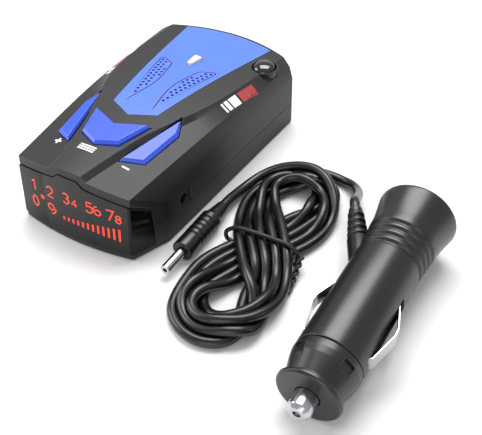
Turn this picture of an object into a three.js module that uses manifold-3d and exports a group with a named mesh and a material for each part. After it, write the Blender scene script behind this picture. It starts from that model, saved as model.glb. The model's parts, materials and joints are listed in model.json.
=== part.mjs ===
// Dashboard radar detector with its unplugged 12 V lead lying beside it.
// Millimetres, +Z up. The display end faces -Y, the windscreen end +Y, and the power socket +X.
// The origin is under the middle of the detector, on the surface that it stands on.

import * as THREE from 'three';
import Module from 'manifold-3d';
import { mergeVertices } from 'three/addons/utils/BufferGeometryUtils.js';
import { ParametricGeometry } from 'three/addons/geometries/ParametricGeometry.js';

const wasm = await Module();
wasm.setup();

// ---------------------------------------------------------------- driving dimensions

const GAP = 0.3; // between pieces that touch
const WALL = 1.8; // casing wall

// Casing in plan
const LENGTH = 106;
const FRONT_HALF = 22.9; // half width at the ends of the bowed front
const FRONT_BOW = 2.5;
const CORNER_HALF = 28.25; // half width where the corner facets end
const CORNER_DEPTH = 16.1; // from the front apex back to there
const REAR_HALF = 31.6;
const REAR_BOW = 8.8;
const FRONT_LEAN = 0.09; // the front leans back by this much per unit of height

// Casing heights
const PAD_PROUD = 0.5; // the grip pad lifts the casing off the dashboard
const SEAM = 9.3; // between the two shells
const SHOULDER = { front: 24.9, middle: 26.4, rear: 24.0 };
const SHOULDER_HALF = { front: 22.5, middle: 27.1, rear: 30.0 };
const CHAMFER_FALL = 2.05; // drop per unit across the band between shoulder and side wall
const SPINE = { front: 29.0, middle: 30.3, rear: 26.0 };
const SPINE_HALF = { front: 5.15, neck: 11.3, hip: 21.0, flank: 24.5, rear: 26.0 };
const SPINE_STEP = 1.8;
const SPINE_CROWN = 0.4;

// Window, panel, keys
const LENS_THICK = 1.6;
const LENS_PROUD = 0.35;
const LENS_SILL = 2.3; // height of the window's lower edge
const LENS_WRAP = 11.1; // from the front apex back to the window's ends on the corner facets
const LENS_LIP = 2.7; // casing left above the window
const PANEL_THICK = 1.6;
const PANEL_RIM = 0.8; // casing left behind the panel's rear edge
const PANEL = { nose: -17.1, cornerHalf: 9.4, cornerAt: -12.7, rearHalf: 19.3 };
const HOLE = 1.3;
const HOLE_PITCH = 2.2;
const LIGHT = { length: 6.6, frontHalf: 1.1, rearHalf: 1.7, at: 24.2, proud: 1.2 };
const KEY_PROUD = 1.3;
const KEY_BEVEL = 0.9;
const KEY_TRAVEL = 0.6;
const KEY_SLOT = 0.4; // gap round a key
const KEY_LIP = 1.1; // flange that keeps a key in

// Inside
const BOARD_TOP = 9.2;
const BOARD_THICK = 1.6;
const KEY_BOARD_TOP = 17.4;
const SWITCH = { side: 6, height: 3.5, plunger: 1.7, stroke: 0.5 };
const JACK = { at: -27.2, depth: 9, width: 6, height: 5.4, bore: 4.2, pin: 1.3 };
const SPEAKER = { radius: 15, at: 6, top: 25.2, depth: 6 };
const HORN = { half: 14, mouth: 48.5, length: 32, height: 8.4 };
const DOME = { x: 24.2, y: 35, radius: 4.2, ring: 1.1, proud: 2.2 };
const REAR_WINDOW = { half: 12, low: 11.5, high: 20.5 };
const SCREW = { head: 2.1, shank: 1.2, boss: 2.9 };
const SCREW_AT = { frontX: 22.6, frontY: -38.3, rearX: 26.0, rearY: 42.6 };
const PAD = { half: 19, length: 66, thick: 1.1 };

// Lead
const LEAD_X = 100; // plug's axis
const LEAD_Y = -82; // plug's tip
const PLUG = { radius: 10.5, seam: 19, end: 84.5, flare: 13.2, flange: 10, bore: 6.6 };
const TIP = { radius: 3.6, length: 9.5, collar: 4.6, travel: 3.5 };
const BUTTON = { radius: 9.2, proud: 3.6, travel: 2 };
const CORD = 3.5;
const HANK = { x: 58, y: -26, length: 88, width: 34, waist: 21, height: 14.5, turn: 0.06 };
const DC_PLUG = { radius: 3.75, grip: 18, barrel: 1.75, reach: 9.5 };

// ---------------------------------------------------------------- solids

/** A manifold solid from a closed three.js geometry. */
function solid(geometry, matrix = new THREE.Matrix4()) {
  const bare = geometry.clone().applyMatrix4(matrix);
  bare.deleteAttribute('normal');
  bare.deleteAttribute('uv');
  const merged = mergeVertices(bare, 1e-4);
  const corners = [];
  for (let i = 0; i < merged.index.count; i += 3) {
    const [a, b, c] = [0, 1, 2].map((k) => merged.index.getX(i + k));
    if (a !== b && b !== c && c !== a) corners.push(a, b, c);
  }
  return new wasm.Manifold(
    new wasm.Mesh({
      numProp: 3,
      vertProperties: new Float32Array(merged.attributes.position.array),
      triVerts: new Uint32Array(corners),
    }),
  );
}

const shift = (x, y, z) => new THREE.Matrix4().makeTranslation(x, y, z);

/** A closed outline from [x, y] points. */
const outline = (points) => new THREE.Shape(points.map(([x, y]) => new THREE.Vector2(x, y)));

/** The outline's points moved inwards by a distance, with mitred corners (anticlockwise rings). */
function inward(points, distance) {
  return points.map(([x, y], i) => {
    const [px, py] = points[(i + points.length - 1) % points.length];
    const [nx, ny] = points[(i + 1) % points.length];
    const before = new THREE.Vector2(x - px, y - py).normalize();
    const after = new THREE.Vector2(nx - x, ny - y).normalize();
    const reach = distance / (1 + before.dot(after));
    return [x - (before.y + after.y) * reach, y + (before.x + after.x) * reach];
  });
}

/** A right-hand side's points with their mirror images, as one anticlockwise ring. */
function mirrored(right) {
  const left = right.filter(([x]) => x > 0).map(([x, y]) => [-x, y]);
  return [...right, ...left.reverse()];
}

function prism(points, low, high) {
  const geometry = new THREE.ExtrudeGeometry(outline(points), { depth: high - low, bevelEnabled: false });
  return solid(geometry, shift(0, 0, low));
}

function block(lowX, highX, lowY, highY, lowZ, highZ) {
  const geometry = new THREE.BoxGeometry(highX - lowX, highY - lowY, highZ - lowZ);
  return solid(geometry, shift((lowX + highX) / 2, (lowY + highY) / 2, (lowZ + highZ) / 2));
}

/** An upright round bar. */
function bar(x, y, radius, low, high, sides = 24) {
  const geometry = new THREE.CylinderGeometry(radius, radius, high - low, sides).rotateX(Math.PI / 2);
  return solid(geometry, shift(x, y, (low + high) / 2));
}

/** A turned piece from [radius, height] points, on the Z axis. */
function turned(profile, sides = 24) {
  const points = profile.map(([r, z]) => new THREE.Vector2(r, z));
  return solid(new THREE.LatheGeometry(points, sides).rotateX(Math.PI / 2));
}

/** A round tube along a curve. */
function tube(curve, diameter, steps, sides = 8) {
  const section = new THREE.Shape().absarc(0, 0, diameter / 2, 0, Math.PI * 2);
  const ring = outline(section.getPoints(sides).slice(0, sides).map((p) => [p.x, p.y]));
  return solid(new THREE.ExtrudeGeometry(ring, { steps, extrudePath: curve, bevelEnabled: false }));
}

/** A value that varies smoothly along Y, from [y, value] pairs. */
function along(...pairs) {
  const points = new THREE.SplineCurve(pairs.map(([y, v]) => new THREE.Vector2(y, v))).getPoints(80);
  return (y) => {
    const last = points.length - 2;
    const found = points.findIndex((p, i) => i <= last && y <= points[i + 1].x);
    const i = y <= points[0].x ? 0 : found < 0 ? last : found;
    const [a, b] = [points[i], points[i + 1]];
    return a.y + ((b.y - a.y) * (y - a.x)) / (b.x - a.x);
  };
}

// ---------------------------------------------------------------- casing

const FRONT = -LENGTH / 2;
const REAR = LENGTH / 2;
const CORNER_Y = FRONT + CORNER_DEPTH;
const REAR_CORNER_Y = REAR - REAR_BOW;
const REAR_RADIUS = (REAR_HALF ** 2 + REAR_BOW ** 2) / (2 * REAR_BOW);
const SKY = 60; // above everything
const STATION = 6; // spacing of the casing's sections

const lift = (height) => PAD_PROUD + height;
const shoulderHalf = along(
  [FRONT, SHOULDER_HALF.front], [0, SHOULDER_HALF.middle], [REAR, SHOULDER_HALF.rear]);
const shoulderTop = along([FRONT, SHOULDER.front], [0, SHOULDER.middle], [REAR, SHOULDER.rear]);
const spineTop = along([FRONT, SPINE.front], [0, SPINE.middle], [REAR, SPINE.rear]);
const spineHalf = along(
  [FRONT, SPINE_HALF.front], [-0.24 * LENGTH, SPINE_HALF.neck], [0, SPINE_HALF.hip],
  [0.22 * LENGTH, SPINE_HALF.flank], [REAR, SPINE_HALF.rear]);
const spineStep = along([FRONT, SPINE_STEP], [-0.06 * LENGTH, SPINE_STEP], [0.3 * LENGTH, 0.25], [REAR, 0.15]);

/** Right half of the top's section at y, from the middle outwards. */
function topSection(y, hasSpine) {
  const half = spineHalf(y);
  const top = spineTop(y);
  const step = spineStep(y);
  const edge = shoulderHalf(y);
  const beyond = REAR_HALF + 8;
  const foot = [half + step, top - step];
  const spine = [[0, top + SPINE_CROWN], [half / 2, top + 0.75 * SPINE_CROWN], [half, top], foot];
  const fall = (foot[1] - shoulderTop(y)) / (edge - foot[0]);
  const flat = [0, 1 / 3, 2 / 3, 1].map((share) => [foot[0] * share, foot[1] + fall * foot[0] * (1 - share)]);
  return [
    ...(hasSpine ? spine : flat),
    [edge, shoulderTop(y)],
    [beyond, shoulderTop(y) - CHAMFER_FALL * (beyond - edge)],
  ];
}

/** Height of the casing's top over a point. */
function topHeight(x, y, hasSpine = true) {
  const points = topSection(y, hasSpine);
  const across = Math.abs(x);
  const i = points.findIndex((p, k) => k + 1 < points.length && across <= points[k + 1][0]);
  const [[ax, az], [bx, bz]] = [points[i], points[i + 1]];
  return az + ((bz - az) * (across - ax)) / (bx - ax);
}

/** The long bar that has the casing's section, moved in by an inset. */
function sectionBar(inset, hasSpine) {
  const stations = Math.round((LENGTH + 24) / STATION);
  const rings = [];
  for (let i = 0; i <= stations; i++) {
    const y = FRONT - 12 + ((LENGTH + 24) * i) / stations;
    const right = topSection(THREE.MathUtils.clamp(y, FRONT, REAR), hasSpine);
    const lowRight = [right.at(-1)[0], lift(0)];
    const ring = mirrored([[0, lift(0)], lowRight, ...right.reverse()]);
    rings.push({ y, points: inward(ring, inset) });
  }
  const around = rings[0].points.length;
  const surface = (u, v, target) => {
    const row = Math.round(v * (stations + 2));
    const ring = rings[THREE.MathUtils.clamp(row - 1, 0, stations)];
    const capped = row === 0 || row === stations + 2;
    const [x, z] = capped ? [0, SEAM] : ring.points[Math.round((1 - u) * around) % around];
    target.set(x, ring.y, z);
  };
  return solid(new ParametricGeometry(surface, around, stations + 2));
}

/** Bowed front, corner facets and side walls in plan, running on past the rear. */
function planOutline() {
  const bow = [];
  for (let i = 0; i <= 6; i++) {
    const x = (FRONT_HALF * i) / 6;
    bow.push([x, FRONT + FRONT_BOW * (x / FRONT_HALF) ** 2]);
  }
  const spread = (REAR_HALF - CORNER_HALF) / (REAR_CORNER_Y - CORNER_Y);
  const past = REAR + 20;
  return mirrored([...bow, [CORNER_HALF, CORNER_Y], [CORNER_HALF + spread * (past - CORNER_Y), past]]);
}

/** The solid inside the casing's outer skin, moved in by an inset (or out, if negative). */
function casing(inset, hasSpine = true) {
  const lean = new THREE.Matrix4().makeShear(0, 0, 0, 0, 0, FRONT_LEAN);
  const depth = SKY + 20;
  const walls = new THREE.ExtrudeGeometry(outline(inward(planOutline(), inset)), { depth, bevelEnabled: false });
  const upright = solid(walls, new THREE.Matrix4().multiplyMatrices(lean, shift(0, 0, -20)));
  const rear = bar(0, REAR - REAR_RADIUS, REAR_RADIUS - inset, -20, SKY, 112);
  return sectionBar(inset, hasSpine).intersect(upright).intersect(rear);
}

const panelOutline = mirrored([
  [0, PANEL.nose],
  [PANEL.cornerHalf, PANEL.cornerAt],
  [PANEL.rearHalf, REAR - 3.7],
  [PANEL.rearHalf, REAR + 5],
]);

/** The panel's outline grown by a clearance, with a rear edge that follows the casing. */
function panelSpace(grow) {
  const low = SPINE.rear - 3 * PANEL_THICK;
  const rear = bar(0, REAR - REAR_RADIUS, REAR_RADIUS - PANEL_RIM - GAP + grow, low, SKY, 112);
  return prism(inward(panelOutline, -grow), low, SKY).intersect(rear);
}

// One grille, on the right of the panel. The left one is its mirror image.
const grilleTip = [5.9, -11.2];
const grilleOuter = [12.5, 21.8];
const grilleInner = [6.0, 18.6];
const grilleBelly = [3.5, 4.5];

function grilleOutline() {
  const inner = new THREE.SplineCurve(
    [grilleInner, grilleBelly, grilleTip].map(([x, y]) => new THREE.Vector2(x, y))).getPoints(8);
  return [grilleTip, grilleOuter, ...inner.slice(0, -1).map((p) => [p.x, p.y])];
}

function holds(points, x, y) {
  let inside = false;
  points.forEach(([ax, ay], i) => {
    const [bx, by] = points[(i + 1) % points.length];
    if (ay > y !== by > y && x < ax + ((bx - ax) * (y - ay)) / (by - ay)) inside = !inside;
  });
  return inside;
}

/** Centres of the sound holes of the right grille: staggered lines along its outer edge. */
function grilleHoles() {
  const edge = new THREE.Vector2(grilleOuter[0] - grilleTip[0], grilleOuter[1] - grilleTip[1]);
  const length = edge.length();
  edge.normalize();
  const room = inward(grilleOutline(), HOLE * 0.85);
  const centres = [];
  for (let line = 0; line < 4; line++) {
    for (let step = 0; step * HOLE_PITCH < length; step++) {
      const run = (step + (line % 2) / 2) * HOLE_PITCH;
      const across = HOLE * 0.95 + line * HOLE_PITCH * 0.78;
      const x = grilleTip[0] + edge.x * run - edge.y * across;
      const y = grilleTip[1] + edge.y * run + edge.x * across;
      if (holds(room, x, y)) centres.push([x, y]);
    }
  }
  return centres;
}

const mirrorX = (points) => points.map(([x, y]) => [-x, y]).reverse();

const keyOutlines = {
  menu: mirrored([[0, -35.8], [7.6, -32.4], [11.3, -19.8], [0, -23.9]]),
  down: [[10.9, -36.4], [18.1, -33], [20, -16.3], [17.2, -9.9]],
};
keyOutlines.up = mirrorX(keyOutlines.down);

/** Where a key sits: its middle, the height of the skin there and the skin's slopes. */
function keySeat(name) {
  const points = keyOutlines[name];
  const hasSpine = name === 'menu';
  const x = points.reduce((sum, p) => sum + p[0], 0) / points.length;
  const y = points.reduce((sum, p) => sum + p[1], 0) / points.length;
  const reach = 3;
  const slopeX = hasSpine ? 0 : (topHeight(x + reach, y, false) - topHeight(x - reach, y, false)) / (2 * reach);
  const slopeY = (topHeight(x, y + reach, hasSpine) - topHeight(x, y - reach, hasSpine)) / (2 * reach);
  return { x, y, z: topHeight(x, y, hasSpine), slopeX, slopeY };
}

/** An extruded slab that follows the skin under a key, from one height over the skin to another. */
function keySlab(seat, points, low, high, bevel = 0) {
  const geometry = new THREE.ExtrudeGeometry(outline(points), {
    depth: high - low - 2 * bevel,
    bevelEnabled: bevel > 0,
    bevelThickness: bevel,
    bevelSize: bevel,
    bevelOffset: -bevel,
    bevelSegments: 1,
  });
  const base = seat.z - seat.slopeX * seat.x - seat.slopeY * seat.y + low + bevel;
  const shear = new THREE.Matrix4().makeShear(0, seat.slopeX, 0, seat.slopeY, 0, 0);
  return solid(geometry, new THREE.Matrix4().multiplyMatrices(shift(0, 0, base), shear));
}

/** The window seen from the front: its upper edge steps up under the spine and falls on the facets. */
function windowOutline(grow) {
  const foot = SPINE_HALF.front + SPINE_STEP;
  const sideTop = shoulderTop(FRONT) - LENS_LIP - 0.4;
  const facetFall = (CORNER_HALF - FRONT_HALF) * 1.6;
  const right = [
    [0, LENS_SILL],
    [CORNER_HALF, LENS_SILL],
    [CORNER_HALF, sideTop - facetFall],
    [FRONT_HALF, sideTop],
    [foot - 0.9, SPINE.front - SPINE_STEP - LENS_LIP - 0.2],
    [foot - 3.1, SPINE.front - LENS_LIP],
    [0, SPINE.front - LENS_LIP],
  ];
  return inward(mirrored(right), -grow);
}

/** Everything that the window outline covers, back to the window's ends. */
function windowSpace(grow) {
  const depth = LENS_WRAP + 8 + grow;
  const geometry = new THREE.ExtrudeGeometry(outline(windowOutline(grow)), { depth, bevelEnabled: false });
  return solid(geometry.rotateX(Math.PI / 2), shift(0, FRONT + LENS_WRAP + grow, 0));
}

const screwPlaces = [
  [-SCREW_AT.frontX, SCREW_AT.frontY],
  [SCREW_AT.frontX, SCREW_AT.frontY],
  [-SCREW_AT.rearX, SCREW_AT.rearY],
  [SCREW_AT.rearX, SCREW_AT.rearY],
];
const screwSeat = lift(3.2); // under a screw's head

const above = (z) => block(-80, 80, -80, 80, z, SKY);
const below = (z) => block(-80, 80, -80, 80, -20, z);

const BEZEL_STEP = 0.6; // the bezel's lip stands this far out over its collar
const BEZEL_DEPTH = 7;
const bezelOuter = DOME.radius + DOME.ring;

function domeHeight() {
  return topHeight(DOME.x, DOME.y);
}

function jackSpace(grow) {
  const half = JACK.width / 2 + grow;
  const low = BOARD_TOP + GAP - grow;
  return block(20, 40, JACK.at - half, JACK.at + half, low, BOARD_TOP + GAP + JACK.height + grow);
}

function rearWindowSpace(grow) {
  const { half, low, high } = REAR_WINDOW;
  return block(-half - grow, half + grow, REAR - 6, REAR + 5, low - grow, high + grow);
}

function topShell() {
  const pocketFloor = PANEL_THICK + GAP;
  const bosses = screwPlaces
    .map(([x, y]) => bar(x, y, SCREW.boss, SEAM + GAP / 2, SKY))
    .reduce((sum, boss) => sum.add(boss));
  let shell = casing(0).subtract(casing(WALL));
  shell = shell.add(casing(WALL / 2).subtract(casing(pocketFloor + 1.2)).intersect(panelSpace(1.2)));
  shell = shell.add(bosses.intersect(casing(WALL / 2)));
  for (const side of [-1, 1]) {
    shell = shell.add(bar(side * 4, -14.6, 1.5, KEY_BOARD_TOP + GAP, SKY, 16).intersect(casing(pocketFloor + 0.5)));
  }
  shell = shell.intersect(above(SEAM + GAP / 2));
  shell = shell.subtract(casing(-5).subtract(casing(pocketFloor)).intersect(panelSpace(GAP)));
  for (const points of [grilleOutline(), mirrorX(grilleOutline())]) {
    shell = shell.subtract(prism(inward(points, 0.2), 20, SKY));
  }
  for (const points of Object.values(keyOutlines)) {
    shell = shell.subtract(prism(inward(points, -KEY_SLOT), SEAM, SKY));
  }
  shell = shell.subtract(windowSpace(GAP));
  shell = shell.subtract(bar(DOME.x, DOME.y, bezelOuter - BEZEL_STEP + GAP, SEAM, SKY, 32));
  shell = shell.subtract(jackSpace(GAP)).subtract(rearWindowSpace(GAP));
  for (const [x, y] of screwPlaces) {
    shell = shell.subtract(bar(x, y, SCREW.shank + GAP, -5, 16, 16));
  }
  return shell;
}

function bottomShell() {
  let shell = casing(0).subtract(casing(WALL));
  for (const [x, y] of screwPlaces) {
    shell = shell.add(bar(x, y, SCREW.boss + 0.5, lift(0.5), SKY).intersect(casing(WALL / 2)));
  }
  for (const x of [-15, 15]) {
    for (const y of [-22, 12]) {
      shell = shell.add(bar(x, y, 2, lift(0.5), BOARD_TOP - BOARD_THICK - GAP, 16));
    }
  }
  shell = shell.intersect(below(SEAM - GAP / 2));
  shell = shell.subtract(windowSpace(GAP));
  for (const [x, y] of screwPlaces) {
    shell = shell.subtract(bar(x, y, SCREW.shank + GAP, -5, SKY, 16));
    shell = shell.subtract(bar(x, y, SCREW.head + GAP, -5, screwSeat));
  }
  const half = PAD.length / 2 + GAP;
  return shell.subtract(block(-PAD.half - GAP, PAD.half + GAP, -half, half, -5, PAD.thick + GAP));
}

function speakerPanel() {
  let panel = casing(0).subtract(casing(PANEL_THICK)).intersect(panelSpace(0)).intersect(above(SEAM));
  for (const [x, y] of grilleHoles()) {
    panel = panel.subtract(bar(x, y, HOLE / 2, SEAM, SKY, 8)).subtract(bar(-x, y, HOLE / 2, SEAM, SKY, 8));
  }
  return panel.subtract(prism(inward(lightOutline(), -GAP), SEAM, SKY));
}

function lightOutline() {
  const half = LIGHT.length / 2;
  return mirrored([
    [0, LIGHT.at - half],
    [LIGHT.frontHalf * 0.7, LIGHT.at - half],
    [LIGHT.frontHalf, LIGHT.at - half + 0.8],
    [LIGHT.rearHalf, LIGHT.at + half],
    [0, LIGHT.at + half],
  ]);
}

function statusLight() {
  const slope = (topHeight(0, LIGHT.at + 3) - topHeight(0, LIGHT.at - 3)) / 6;
  const seat = { x: 0, y: LIGHT.at, z: topHeight(0, LIGHT.at), slopeX: 0, slopeY: slope };
  return keySlab(seat, lightOutline(), -PANEL_THICK, LIGHT.proud, 0.4);
}

const switchTop = KEY_BOARD_TOP + SWITCH.height + SWITCH.stroke;

/** Cap, keeping flange and stem of one key. */
function key(name) {
  const seat = keySeat(name);
  const points = keyOutlines[name];
  const under = -WALL - 0.9;
  const cap = keySlab(seat, points, under - 1.4, KEY_PROUD, KEY_BEVEL);
  const flange = keySlab(seat, inward(points, -KEY_LIP), under - 1, under);
  const stem = bar(seat.x, seat.y, 2, switchTop + KEY_TRAVEL + 0.1, seat.z + under - 0.5, 16);
  return cap.intersect(above(seat.z - 12)).add(flange).add(stem);
}

function tactSwitch(name) {
  const { x, y } = keySeat(name);
  const half = SWITCH.side / 2;
  const low = KEY_BOARD_TOP + GAP;
  const can = block(x - half, x + half, y - half, y + half, low, low + SWITCH.height - GAP);
  return can.add(bar(x, y, SWITCH.plunger, low + 1, switchTop, 16));
}

/** A board that fills the casing between two distances along it. */
function board(top, inset, lowY, highY, halfX) {
  return casing(inset).intersect(block(-halfX, halfX, lowY, highY, top - BOARD_THICK, top));
}

function circuitBoard() {
  let plate = board(BOARD_TOP, WALL + 0.5, -40, 47, 40);
  for (const [x, y] of screwPlaces) {
    plate = plate.subtract(bar(x, y, SCREW.boss + 1.1, 0, SKY));
  }
  return plate;
}

/** Face of the display, parallel to the window. */
function displayModule() {
  const face = casing(LENS_THICK - LENS_PROUD + 0.6);
  return face.intersect(block(-20, 20, FRONT - 5, FRONT + 9, lift(WALL) + 1, SHOULDER.front - 3.4));
}

function hornAntenna() {
  const { half, mouth, length, height } = HORN;
  const low = BOARD_TOP + GAP;
  const body = block(-half, half, mouth - length, mouth, low, low + height);
  const flareDepth = 20;
  const wall = 1.2;
  const mouthShape = new THREE.CylinderGeometry((half - wall) * Math.SQRT2, 5 * Math.SQRT2, flareDepth, 4, 1);
  mouthShape.rotateY(Math.PI / 4).scale(1, 1, (height / 2 - wall) / (half - wall));
  const flare = solid(mouthShape, shift(0, mouth - flareDepth / 2 + 0.01, low + height / 2));
  return body.subtract(flare);
}

/** Round pieces of the loudspeaker, facing up. */
const speakerPieces = {
  basket: ({ radius, top, depth }) => turned([
    [5.2, top - depth + 0.8], [8, top - depth + 0.8], [radius, top - 1.2], [radius, top],
    [radius - 2.4, top], [radius - 2.4, top - 0.8], [7.6, top - depth + 1.8], [5.2, top - depth + 1.8],
    [5.2, top - depth + 0.8],
  ]),
  cone: ({ radius, top, depth }) => turned([
    [0, top - depth + 3.2], [4, top - depth + 3.2], [radius - 3.2, top - 1.3], [radius - 2.7, top - 0.9],
    [radius - 3.4, top - 0.6], [4, top - depth + 4.2], [0, top - depth + 4.6],
  ]),
  magnet: ({ top, depth }) => turned([
    [0, top - depth - 0.9], [7, top - depth - 0.9], [7, top - depth + 0.5], [4.6, top - depth + 0.5],
    [4.6, top - depth + 2.6], [0, top - depth + 2.6],
  ]),
};

function laserDome() {
  const z = domeHeight();
  const { radius, proud } = DOME;
  const profile = [[0, z - 3], [radius, z - 3], [radius, z]];
  for (let i = 1; i <= 5; i++) {
    const angle = (i / 5) * (Math.PI / 2);
    profile.push([radius * Math.cos(angle), z + proud * Math.sin(angle)]);
  }
  profile[profile.length - 1][0] = 0;
  return turned(profile).translate([DOME.x, DOME.y, 0]);
}

function domeBezel() {
  const z = domeHeight();
  const inner = DOME.radius + GAP;
  const outer = bezelOuter - BEZEL_STEP;
  return turned([
    [inner, z - BEZEL_DEPTH], [outer, z - BEZEL_DEPTH], [outer, z + 0.4],
    [bezelOuter - 0.2, z + 0.7], [inner, z + 0.7], [inner, z - BEZEL_DEPTH],
  ]).translate([DOME.x, DOME.y, 0]);
}

/** One casing screw, standing head down. */
function caseScrew([x, y]) {
  const head = screwSeat - GAP;
  const profile = [
    [0, head - 1.6], [SCREW.head - 0.4, head - 1.6], [SCREW.head, head - 1], [SCREW.head, head],
    [SCREW.shank, head], [SCREW.shank, 14], [0, 15],
  ];
  const slot = block(-0.3, 0.3, -1.3, 1.3, head - 3, head - 0.9);
  const cross = slot.add(block(-1.3, 1.3, -0.3, 0.3, head - 3, head - 0.9));
  return turned(profile, 12).subtract(cross).translate([x, y, 0]);
}

// ---------------------------------------------------------------- lead

const flareDistance = PLUG.end - 7;
const plugTilt = Math.asin((PLUG.flare - PLUG.flange) / flareDistance);
const plugAxisZ = PLUG.flange + 0.15 - 7 * Math.sin(plugTilt);

/** The plug lies on its nose flange and the rim of its flare, with its tip to the front. */
const plug = new THREE.Group();
plug.position.set(LEAD_X, LEAD_Y, plugAxisZ);
plug.rotation.set(-Math.PI / 2 + plugTilt, 0, 0);

function plugBody() {
  const { radius, seam, end, flare, bore } = PLUG;
  const grooves = [];
  for (let i = 0; i < 4; i++) {
    const at = 60 + 2.8 * i;
    const r = radius + 0.25 * i;
    grooves.push([r, at - 1], [r - 0.7, at - 0.35], [r - 0.7, at + 0.35], [r + 0.1, at + 1]);
  }
  return turned([
    [bore, seam + GAP], [radius, seam + GAP], [radius, 58], ...grooves,
    [radius + 1.7, end - 8], [flare - 0.4, end - 2.4], [flare, end - 1], [flare - 0.6, end],
    [BUTTON.radius + GAP, end], [BUTTON.radius + GAP, end - 6], [bore, end - 6], [bore, seam + GAP],
  ], 26);
}

function plugNose() {
  const { radius, seam, flange } = PLUG;
  const hole = TIP.radius + GAP;
  return turned([
    [hole, 6.4], [flange - 0.5, 6.4], [flange, 7], [flange, 7.8], [flange - 1.4, 8.3], [radius - 2, 8.6],
    [radius, seam - 3], [radius, seam], [TIP.collar + GAP, seam], [TIP.collar + GAP, 8.6], [hole, 8.6], [hole, 6.4],
  ], 26);
}

function plugTip() {
  const { radius, length, collar } = TIP;
  return turned([
    [0, 0], [radius - 0.9, 0], [radius, 1], [radius, 8.9], [collar, 8.9], [collar, length + 0.6], [0, length + 0.6],
  ], 24);
}

/** Coil spring behind the tip. */
class Coil extends THREE.Curve {
  getPoint(t, target = new THREE.Vector3()) {
    const angle = t * 5 * Math.PI * 2;
    return target.set(3.4 * Math.cos(angle), 3.4 * Math.sin(angle), TIP.length + 1.5 + 7 * t);
  }
}

/** A bowed strip of spring metal on the plug's side. */
function sideContact(side) {
  const bow = new THREE.Shape();
  const [low, high, out] = [24, 46, 3];
  const reach = PLUG.radius + GAP;
  bow.moveTo(reach, low);
  bow.quadraticCurveTo(reach + 2 * out, (low + high) / 2, reach, high);
  bow.lineTo(reach, high - 0.6);
  bow.quadraticCurveTo(reach + 2 * out - 1.2, (low + high) / 2, reach, low + 0.6);
  const geometry = new THREE.ExtrudeGeometry(bow, { depth: 5, bevelEnabled: false, curveSegments: 8 });
  geometry.translate(0, 0, -2.5).rotateX(Math.PI / 2);
  const round = side < 0 ? new THREE.Matrix4().makeRotationZ(Math.PI) : new THREE.Matrix4();
  return solid(geometry, round);
}

const bootLean = 0.49; // between the boot's axis and the plug's
const bootLength = 22;
const bootFoot = new THREE.Vector3(-PLUG.radius + 2, 0, 58);
const bootAxis = new THREE.Vector3(-Math.sin(bootLean), 0, Math.cos(bootLean));

/** Ribbed strain relief at the plug's side. */
function plugBoot() {
  const profile = [[0, 0], [3.6, 0], [3.6, 8]];
  for (let i = 0; i < 4; i++) {
    const at = 9 + 3 * i;
    const r = 3.3 - 0.25 * i;
    profile.push([r, at], [r, at + 1.4], [r - 0.6, at + 1.8], [r - 0.6, at + 2.6]);
  }
  profile.push([2.2, bootLength], [0, bootLength]);
  const place = new THREE.Matrix4().makeTranslation(bootFoot.x, bootFoot.y, bootFoot.z);
  const lean = new THREE.Matrix4().makeRotationY(-bootLean);
  const points = profile.map(([r, z]) => new THREE.Vector2(r, z));
  const relief = new THREE.LatheGeometry(points, 12).rotateX(Math.PI / 2);
  const core = turned([[0, 10], [PLUG.radius + GAP, 10], [PLUG.radius + GAP, 58.5], [PLUG.radius + 1.6, 72],
    [PLUG.flare + 0.3, 82], [PLUG.flare + 0.3, 86], [0, 86]], 26);
  return solid(relief, new THREE.Matrix4().multiplyMatrices(place, lean)).subtract(core);
}

/** A point of the plug's own frame, in the part's frame. */
function fromPlug(vector) {
  plug.updateMatrixWorld(true);
  return vector.clone().applyMatrix4(plug.matrixWorld);
}

const loopRadius = HANK.width / 2;
const loopCentre = HANK.length / 2 - loopRadius;
const rearLoop = { x: HANK.x - loopCentre * Math.sin(HANK.turn), y: HANK.y + loopCentre };
const onFloor = CORD / 2 + 0.2;
const boot = fromPlug(bootFoot.clone().addScaledVector(bootAxis, bootLength + GAP));
const bootWay = fromPlug(bootFoot.clone().addScaledVector(bootAxis, bootLength + 4));

/** From the boot, down beside the rear loop and round to its end. */
const leadRoute = new THREE.CatmullRomCurve3([
  boot,
  bootWay,
  new THREE.Vector3(rearLoop.x + loopRadius + 3.8, rearLoop.y + 4.5, 9),
  new THREE.Vector3(rearLoop.x + loopRadius + 2.6, rearLoop.y + 12, 4.5),
  new THREE.Vector3(rearLoop.x + loopRadius - 2, rearLoop.y + 18, onFloor),
  new THREE.Vector3(rearLoop.x + loopRadius - 8.4, rearLoop.y + 19.6, onFloor),
  new THREE.Vector3(rearLoop.x + 2.6, rearLoop.y + 19.2, onFloor),
]);

const dcX = rearLoop.x - loopRadius - 2.7;
const dcY = HANK.y + 10;

/** From the rear loop's other side to the small plug. */
const tailRoute = new THREE.CatmullRomCurve3([
  new THREE.Vector3(rearLoop.x - loopRadius - 2.1, rearLoop.y, onFloor),
  new THREE.Vector3(dcX + 0.3, rearLoop.y - 5, onFloor + 0.4),
  new THREE.Vector3(dcX, dcY + 5, DC_PLUG.radius - 0.2),
  new THREE.Vector3(dcX, dcY, DC_PLUG.radius + 0.05),
]);

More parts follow.
